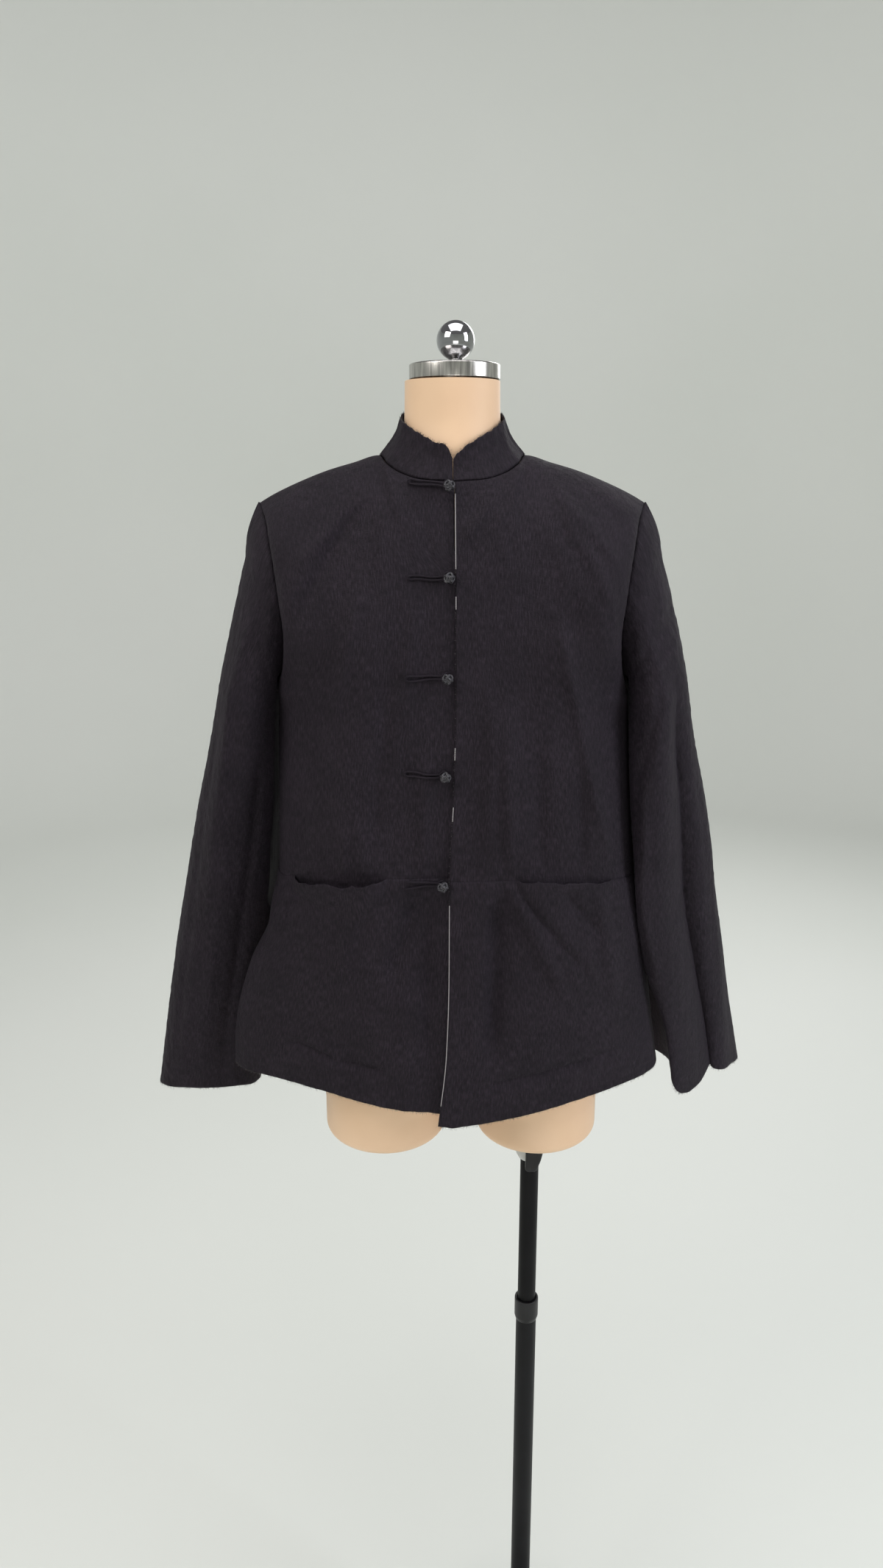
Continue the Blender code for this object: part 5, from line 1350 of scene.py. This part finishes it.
# --- finishes ------------------------------------------------------------------------------
def linear(hex_colour):
    """An sRGB hex colour as linear RGBA."""
    channels = [int(hex_colour[i:i + 2], 16) / 255 for i in (1, 3, 5)]
    return (*(c / 12.92 if c <= 0.04045 else ((c + 0.055) / 1.055) ** 2.4 for c in channels), 1.0)


def node(tree, kind, inputs=(), stops=(), **settings):
    """Adds a node, sets its settings, inputs and ramp stops, and links the inputs that are sockets."""
    made = tree.nodes.new(kind)
    for name, value in settings.items():
        setattr(made, name, value)
    for name, value in dict(inputs).items():
        if isinstance(value, bpy.types.NodeSocket):
            tree.links.new(value, made.inputs[name])
        else:
            made.inputs[name].default_value = value
    if stops:
        elements = made.color_ramp.elements
        while len(elements) < len(stops):
            elements.new(0.5)
        for element, (position, colour) in zip(elements, stops):
            element.position = position
            element.color = linear(colour)
    return made


def new_finish(name, **sockets):
    """A material with its shader's own sockets set; returns it with its tree and shader."""
    made = bpy.data.materials.new(name)
    made.use_nodes = True
    shader = made.node_tree.nodes["Principled BSDF"]
    for socket, value in sockets.items():
        shader.inputs[socket.replace("_", " ")].default_value = value
    return made, made.node_tree, shader


def dress(tree, shader, colour, relief):
    """Links a finish's colour and its last bump to the shader."""
    tree.links.new(colour, shader.inputs["Base Color"])
    tree.links.new(relief.outputs["Normal"], shader.inputs["Normal"])


def black_cotton():
    """Washed black cotton: matte, with a plain weave, faint slubs and a little bluish fade."""
    if "black_cotton_cloth" in bpy.data.materials:
        return bpy.data.materials["black_cotton_cloth"]
    made, tree, shader = new_finish(
        "black_cotton_cloth", Roughness=0.78, Specular_IOR_Level=0.22, Sheen_Weight=0.05, Sheen_Roughness=0.40
    )
    shader.inputs["Sheen Tint"].default_value = linear("#8F8894")
    where = node(tree, "ShaderNodeTexCoord")
    place, weave = where.outputs["Object"], where.outputs["UV"]
    # Uneven dye and wear, seen as soft blotches a few centimetres across.
    fade = node(
        tree, "ShaderNodeTexNoise", {"Vector": place, "Scale": 26.0, "Detail": 5.0, "Roughness": 0.62})
    # Single thicker yarns, which catch the light as short dark and pale dashes.
    stretched = node(tree, "ShaderNodeMapping", {"Vector": weave, "Scale": (700.0, 130.0, 1.0)})
    slub = node(
        tree, "ShaderNodeTexNoise", {"Vector": stretched.outputs["Vector"], "Scale": 1.0, "Detail": 2.0})
    faint = node(tree, "ShaderNodeMath", {0: fade.outputs["Fac"], 1: 0.25}, operation="MULTIPLY")
    strong = node(tree, "ShaderNodeMath", {0: slub.outputs["Fac"], 1: 0.75}, operation="MULTIPLY")
    both = node(tree, "ShaderNodeMath", {0: faint.outputs[0], 1: strong.outputs[0]}, operation="ADD")
    colour = node(
        tree, "ShaderNodeValToRGB", {"Fac": both.outputs[0]},
        stops=((0.36, "#110C14"), (0.50, "#1B151D"), (0.64, "#272029")),
    ).outputs["Color"]
    # Warp and weft, 0.6 mm apart.
    yarns = []
    for direction in ("X", "Y"):
        wave = node(
            tree, "ShaderNodeTexWave", {"Vector": weave, "Scale": 83.0, "Distortion": 0.6, "Detail": 1.0},
            bands_direction=direction,
        )
        yarns.append(wave.outputs["Fac"])
    cloth = node(tree, "ShaderNodeMath", {0: yarns[0], 1: yarns[1]}, operation="MAXIMUM")
    fine = node(
        tree, "ShaderNodeBump", {"Height": cloth.outputs[0], "Strength": 0.22, "Distance": 0.00012})
    # The fine crinkle between the modelled folds, some millimetres across.
    crease = node(
        tree, "ShaderNodeTexNoise", {"Vector": place, "Scale": 150.0, "Detail": 6.0, "Roughness": 0.66})
    rough = node(
        tree, "ShaderNodeBump",
        {"Height": crease.outputs["Fac"], "Strength": 0.9, "Distance": 0.0020,
         "Normal": fine.outputs["Normal"]},
    )
    # Upright wrinkles pressed into hanging cloth, a centimetre wide and several long.
    tall = node(tree, "ShaderNodeMapping", {"Vector": place, "Scale": (75.0, 75.0, 11.0)})
    hang = node(
        tree, "ShaderNodeTexNoise", {"Vector": tall.outputs["Vector"], "Scale": 1.0, "Detail": 3.0})
    pressed = node(
        tree, "ShaderNodeBump",
        {"Height": hang.outputs["Fac"], "Strength": 0.55, "Distance": 0.0035,
         "Normal": rough.outputs["Normal"]},
    )
    dress(tree, shader, colour, pressed)
    return made


def cord_finish(name, dark, middle, light, roughness, sheen):
    """Twisted cord: the strands show as slanting ridges, with painted shade in the grooves and painted
    highlights on the crowns.
    """
    if name in bpy.data.materials:
        return bpy.data.materials[name]
    made, tree, shader = new_finish(name, Roughness=roughness, Specular_IOR_Level=0.5, Sheen_Weight=sheen)
    place = node(tree, "ShaderNodeTexCoord").outputs["Object"]
    twist = node(
        tree, "ShaderNodeTexWave", {"Vector": place, "Scale": 330.0, "Distortion": 2.0, "Detail": 2.0},
        bands_direction="DIAGONAL",
    )
    # Painted shade and highlight: the ramp runs from dark where the twist's ridges are low to light where
    # they are high.
    colour = node(
        tree, "ShaderNodeValToRGB", {"Fac": twist.outputs["Fac"]},
        stops=((0.1, dark), (0.55, middle), (0.95, light)),
    ).outputs["Color"]
    ridge = node(
        tree, "ShaderNodeBump",
        {"Height": twist.outputs["Fac"], "Strength": 0.6, "Distance": 0.0002})
    dress(tree, shader, colour, ridge)
    return made


def knot_cord():
    """Dark grey rayon-wrapped cord of the knots, which shines a little, with a painted highlight on its
    crowns and painted shade in its grooves.
    """
    # The lightest stop is the painted highlight on the crowns; the darkest is painted shade in the grooves.
    return cord_finish("knot_rayon_cord", "#121115", "#252429", "#4E4C53", 0.36, 0.05)


def frayed_cotton():
    """Loose black cotton fibres, a little browner and paler than the weave."""
    # Its stops also paint shade in the fibres' grooves and a highlight on their crowns.
    return cord_finish("frayed_cotton", "#1D191C", "#2B2629", "#463F42", 0.9, 0.3)


def pale_thread():
    """The greyed sewing thread that shows along the lap's edge."""
    # Its stops also paint shade in the thread's grooves and a highlight on its crowns.
    return cord_finish("greyed_thread", "#777375", "#9A9698", "#C2BEC0", 0.8, 0.2)


def cream_cover():
    """Smooth cream knitted cover of the form, with a trace of its rib and a faint warm mottle."""
    if "cream_form_cover" in bpy.data.materials:
        return bpy.data.materials["cream_form_cover"]
    made, tree, shader = new_finish(
        "cream_form_cover", Roughness=0.55, Specular_IOR_Level=0.4, Sheen_Weight=0.12
    )
    place = node(tree, "ShaderNodeTexCoord").outputs["Object"]
    tone = node(tree, "ShaderNodeTexNoise", {"Vector": place, "Scale": 7.0, "Detail": 4.0})
    colour = node(
        tree, "ShaderNodeValToRGB", {"Fac": tone.outputs["Fac"]},
        stops=((0.3, "#DDB998"), (0.5, "#E6C4A2"), (0.7, "#EDCCAC")),
    ).outputs["Color"]
    knit = node(tree, "ShaderNodeTexNoise", {"Vector": place, "Scale": 900.0, "Detail": 2.0})
    ribbed = node(
        tree, "ShaderNodeBump",
        {"Height": knit.outputs["Fac"], "Strength": 0.12, "Distance": 0.0003})
    dress(tree, shader, colour, ribbed)
    return made


def streaked_metal(name, pale, dark, roughness, marks):
    """Bare or plated metal, with fine upright or round tool marks that vary its roughness."""
    if name in bpy.data.materials:
        return bpy.data.materials[name]
    made, tree, shader = new_finish(name, Metallic=1.0)
    place = node(tree, "ShaderNodeTexCoord").outputs["Object"]
    centred = node(
        tree, "ShaderNodeMapping", {"Vector": place, "Location": (MAST_OFFSET, 0.0, 0.0), "Scale": marks})
    mark = node(
        tree, "ShaderNodeTexNoise", {"Vector": centred.outputs["Vector"], "Scale": 1.0, "Detail": 3.0})
    colour = node(
        tree, "ShaderNodeValToRGB", {"Fac": mark.outputs["Fac"]},
        stops=((0.35, dark), (0.65, pale)),
    ).outputs["Color"]
    spread = node(
        tree, "ShaderNodeMapRange",
        {"Value": mark.outputs["Fac"], "To Min": roughness * 0.75, "To Max": roughness * 1.35},
    )
    tree.links.new(spread.outputs["Result"], shader.inputs["Roughness"])
    scored = node(
        tree, "ShaderNodeBump",
        {"Height": mark.outputs["Fac"], "Strength": 0.04, "Distance": 0.00004})
    dress(tree, shader, colour, scored)
    return made


def turned_aluminium():
    """Satin turned aluminium of the neck cap, with its upright grain."""
    return streaked_metal("turned_aluminium", "#D9D6D2", "#A9A6A4", 0.22, (420.0, 420.0, 30.0))


def chrome():
    """Polished chrome of the ball, with a breath of haze."""
    return streaked_metal("polished_chrome", "#B9B9BC", "#B2B2B6", 0.05, (40.0, 40.0, 40.0))


def speckled(name, dark, light, roughness, grain, strength, gloss=0.5):
    """Painted or moulded surface: a faint mottle and a fine grain in the bump."""
    if name in bpy.data.materials:
        return bpy.data.materials[name]
    made, tree, shader = new_finish(name, Roughness=roughness, Specular_IOR_Level=gloss)
    place = node(tree, "ShaderNodeTexCoord").outputs["Object"]
    tone = node(tree, "ShaderNodeTexNoise", {"Vector": place, "Scale": 45.0, "Detail": 4.0})
    colour = node(
        tree, "ShaderNodeValToRGB", {"Fac": tone.outputs["Fac"]},
        stops=((0.35, dark), (0.65, light)),
    ).outputs["Color"]
    pebble = node(tree, "ShaderNodeTexNoise", {"Vector": place, "Scale": grain, "Detail": 3.0})
    grained = node(
        tree, "ShaderNodeBump",
        {"Height": pebble.outputs["Fac"], "Strength": strength, "Distance": 0.0002})
    dress(tree, shader, colour, grained)
    return made


def black_steel():
    """Black powder-coated steel of the base and the lower tube, with its orange-peel grain."""
    return speckled("powder_coated_steel", "#09090B", "#0F0F12", 0.46, 900.0, 0.35, 0.2)


def satin_black():
    """Satin black painted mast, smoother than the powder coat."""
    return speckled("satin_black_mast", "#060608", "#0A0A0C", 0.46, 300.0, 0.08, 0.16)


def black_plastic():
    """Moulded black plastic of the lever and the ferrule, with a faint random mottle, paler in places."""
    return speckled("moulded_black_plastic", "#101012", "#1A1A1C", 0.40, 1400.0, 0.25, 0.35)


def grey_plastic():
    """Light grey moulded plastic of the bush."""
    return speckled("light_grey_plastic", "#B9BAB8", "#CBCCC9", 0.45, 1100.0, 0.2)


# --- studio --------------------------------------------------------------------------------
def build_stage(settings):
    """A seamless pale floor and wall, soft lights and the camera."""
    turn = np.linspace(0.0, math.pi / 2, 24)
    far, bend, tall = settings.room_radius, ROOM_BEND, settings.room_height
    profile = np.concatenate([
        [[0.0, 0.0]], np.stack([np.linspace(0.2, far - bend, 20), np.zeros(20)], -1),
        np.stack([far - bend + bend * np.sin(turn[1:]), bend - bend * np.cos(turn[1:])], -1),
        np.stack([np.full(14, far), np.linspace(bend + 0.2, tall, 14)], -1),
    ])
    room = fill_mesh("studio_floor", *turned(profile, (0.0, 0.0), 128))
    made, tree, shader = new_finish("painted_plaster", Roughness=0.92, Specular_IOR_Level=0.2)
    place = node(tree, "ShaderNodeTexCoord").outputs["Object"]
    tone = node(tree, "ShaderNodeTexNoise", {"Vector": place, "Scale": 0.5, "Detail": 2.0})
    colour = node(
        tree, "ShaderNodeValToRGB", {"Fac": tone.outputs["Fac"]},
        stops=((0.3, "#DEE1DC"), (0.7, "#E3E5E1")),
    ).outputs["Color"]
    tree.links.new(colour, shader.inputs["Base Color"])
    room.data.materials.append(made)

    world = bpy.data.worlds.new("soft_room")
    world.use_nodes = True
    sky = world.node_tree.nodes["Background"]
    sky.inputs["Color"].default_value = linear("#F4F3F1")
    sky.inputs["Strength"].default_value = settings.room_light
    bpy.context.scene.world = world
    for name, place, aim, size, power, colour in (
        ("key", (-2.5, -1.7, 3.2), (-0.1, 0.0, 1.3), (2.0, 1.6), settings.key_light, "#FFFBF6"),
        ("side", (2.7, -1.2, 2.5), (-0.1, 0.0, 1.25), (1.2, 2.2), settings.side_light, "#F6F8FF"),
        ("top", (-0.1, -0.5, 4.1), (-0.1, 0.0, 1.0), (2.6, 2.6), settings.top_light, "#FFFFFF"),
        ("front", (-0.1, -3.2, 0.75), (-0.1, 0.0, 0.95), (1.8, 1.0), settings.front_light, "#FFF9F2"),
        ("back", (1.3, 3.0, 2.7), (-0.1, 0.0, 1.25), (1.6, 1.8), settings.back_light, "#FFFFFF"),
        ("wall", (-0.1, 2.6, 4.4), (-0.1, 6.0, 1.6), (6.0, 1.2), settings.wall_light, "#FFFFFF"),
    ):
        lamp = bpy.data.lights.new(name, "AREA")
        lamp.shape = "RECTANGLE"
        lamp.size, lamp.size_y = size
        lamp.energy = power
        lamp.color = linear(colour)[:3]
        holder = bpy.data.objects.new(name, lamp)
        bpy.context.scene.collection.objects.link(holder)
        holder.location = place
        holder.visible_camera = False
        aim_at(holder, aim)

    lens = bpy.data.cameras.new("camera")
    lens.lens = CAMERA_LENS
    lens.sensor_fit = "VERTICAL"
    lens.sensor_height = 36.0
    lens.sensor_width = 36.0
    lens.clip_start = 0.05
    holder = bpy.data.objects.new("camera", lens)
    bpy.context.scene.collection.objects.link(holder)
    holder.location = (-MAST_OFFSET - CAMERA_SHIFT, -CAMERA_DISTANCE, NECK_LEVEL)
    holder.rotation_euler = (math.radians(CAMERA_TILT), 0.0, 0.0)
    bpy.context.scene.camera = holder
    bpy.context.scene.view_settings.view_transform = "Standard"


def aim_at(holder, target):
    """Turns a light so that its face looks at the target."""
    x, y, z = (b - a for a, b in zip(holder.location, target))
    holder.rotation_euler = (math.atan2(math.hypot(x, y), -z), 0.0, math.atan2(-x, y) if y or x else 0.0)


# --- panel, operators and settings ---------------------------------------------------------
class JacketSettings(bpy.types.PropertyGroup):
    """Sizes of the jacket's loose threads."""

    fringe_length: bpy.props.FloatProperty(
        name="Fringe length", description="Usual length of a loose fibre at a raw edge", default=0.0030,
        min=0.0005, max=0.006, unit="LENGTH",
    )
    cuff_strands: bpy.props.IntProperty(
        name="Cuff fibres", description="Loose fibres at each cuff", default=420, min=0, max=1200)
    hem_strands: bpy.props.IntProperty(
        name="Hem fibres", description="Loose fibres at each panel's hem", default=320, min=0, max=1200)
    collar_strands: bpy.props.IntProperty(
        name="Collar fibres", description="Loose fibres at the collar's raw edge", default=380, min=0,
        max=1200)
    lap_strands: bpy.props.IntProperty(
        name="Lap fibres", description="Loose fibres down the lap's edge", default=260, min=0, max=1200)


class StudioSettings(bpy.types.PropertyGroup):
    """Room and lights of the studio."""

    room_radius: bpy.props.FloatProperty(
        name="Room radius", description="From the mast to the seamless wall", default=6.0, min=3.0, max=12.0,
        unit="LENGTH")
    room_height: bpy.props.FloatProperty(
        name="Room height", description="Height of the seamless wall", default=5.0, min=2.5, max=9.0,
        unit="LENGTH")
    room_light: bpy.props.FloatProperty(
        name="Room light", description="Strength of the even light from all round", default=0.20, min=0.0,
        max=3.0)
    key_light: bpy.props.FloatProperty(
        name="Key light", description="Power of the large light at the viewer's left", default=49.0,
        min=0.0, max=1000.0, unit="POWER")
    side_light: bpy.props.FloatProperty(
        name="Side light", description="Power of the light at the viewer's right", default=62.0,
        min=0.0, max=1000.0, unit="POWER")
    top_light: bpy.props.FloatProperty(
        name="Top light", description="Power of the overhead light", default=52.0,
        min=0.0, max=1000.0, unit="POWER")
    front_light: bpy.props.FloatProperty(
        name="Front light", description="Power of the low light in front", default=16.0,
        min=0.0, max=1000.0, unit="POWER")
    back_light: bpy.props.FloatProperty(
        name="Back light", description="Power of the light behind the form", default=28.0,
        min=0.0, max=1000.0, unit="POWER")
    wall_light: bpy.props.FloatProperty(
        name="Wall light", description="Power of the light that washes the wall", default=46.0,
        min=0.0, max=2000.0, unit="POWER")


class JACKET_OT_body(bpy.types.Operator):
    """Build the fronts, the lower patch panels and the back"""

    bl_idname = "tang_jacket.body"
    bl_label = "Fronts, pockets and back"

    def execute(self, context):
        build_fronts()
        build_pockets()
        build_back()
        return {"FINISHED"}


class JACKET_OT_sleeves(bpy.types.Operator):
    """Build the two sleeves"""

    bl_idname = "tang_jacket.sleeves"
    bl_label = "Sleeves"

    def execute(self, context):
        build_sleeves()
        return {"FINISHED"}


class JACKET_OT_collar(bpy.types.Operator):
    """Build the stand collar"""

    bl_idname = "tang_jacket.collar"
    bl_label = "Collar"

    def execute(self, context):
        build_collar()
        return {"FINISHED"}


class JACKET_OT_buttons(bpy.types.Operator):
    """Build the knot buttons with their tails and loops"""

    bl_idname = "tang_jacket.buttons"
    bl_label = "Knot buttons"

    def execute(self, context):
        build_buttons()
        return {"FINISHED"}


class JACKET_OT_threads(bpy.types.Operator):
    """Build the frayed edges, stitches and loose threads"""

    bl_idname = "tang_jacket.threads"
    bl_label = "Threads"

    def execute(self, context):
        build_threads(context.scene.tang_jacket)
        return {"FINISHED"}


class FORM_OT_torso(bpy.types.Operator):
    """Build the covered form, its neck cap and its ball"""

    bl_idname = "tang_jacket.form"
    bl_label = "Dress form"

    def execute(self, context):
        build_form()
        build_neck_cap()
        return {"FINISHED"}


class FORM_OT_stand(bpy.types.Operator):
    """Build the base, tubes, ferrule, bush and clamp lever"""

    bl_idname = "tang_jacket.stand"
    bl_label = "Stand"

    def execute(self, context):
        build_stand()
        return {"FINISHED"}


class STUDIO_OT_stage(bpy.types.Operator):
    """Build the floor and wall, the lights and the camera"""

    bl_idname = "tang_jacket.stage"
    bl_label = "Studio"

    def execute(self, context):
        build_stage(context.scene.tang_studio)
        return {"FINISHED"}


STEPS = (
    JACKET_OT_body, JACKET_OT_sleeves, JACKET_OT_collar, JACKET_OT_buttons, JACKET_OT_threads,
    FORM_OT_torso, FORM_OT_stand, STUDIO_OT_stage,
)


class JACKET_PT_panel(bpy.types.Panel):
    """Settings and building steps, in the 3D view's sidebar"""

    bl_idname = "JACKET_PT_panel"
    bl_label = "Tang jacket"
    bl_space_type = "VIEW_3D"
    bl_region_type = "UI"
    bl_category = "Tang jacket"

    def draw(self, context):
        for group in (context.scene.tang_jacket, context.scene.tang_studio):
            column = self.layout.column()
            for name in group.__annotations__:
                column.prop(group, name)
        for step in STEPS:
            self.layout.operator(step.bl_idname)


CLASSES = (JacketSettings, StudioSettings, *STEPS, JACKET_PT_panel)


def register():
    for made in CLASSES:
        bpy.utils.register_class(made)
    bpy.types.Scene.tang_jacket = bpy.props.PointerProperty(type=JacketSettings)
    bpy.types.Scene.tang_studio = bpy.props.PointerProperty(type=StudioSettings)


def unregister():
    del bpy.types.Scene.tang_studio
    del bpy.types.Scene.tang_jacket
    for made in reversed(CLASSES):
        bpy.utils.unregister_class(made)


def main():
    register()
    for step in STEPS:
        group, _, name = step.bl_idname.partition(".")
        getattr(getattr(bpy.ops, group), name)()


if __name__ == "__main__":
    main()
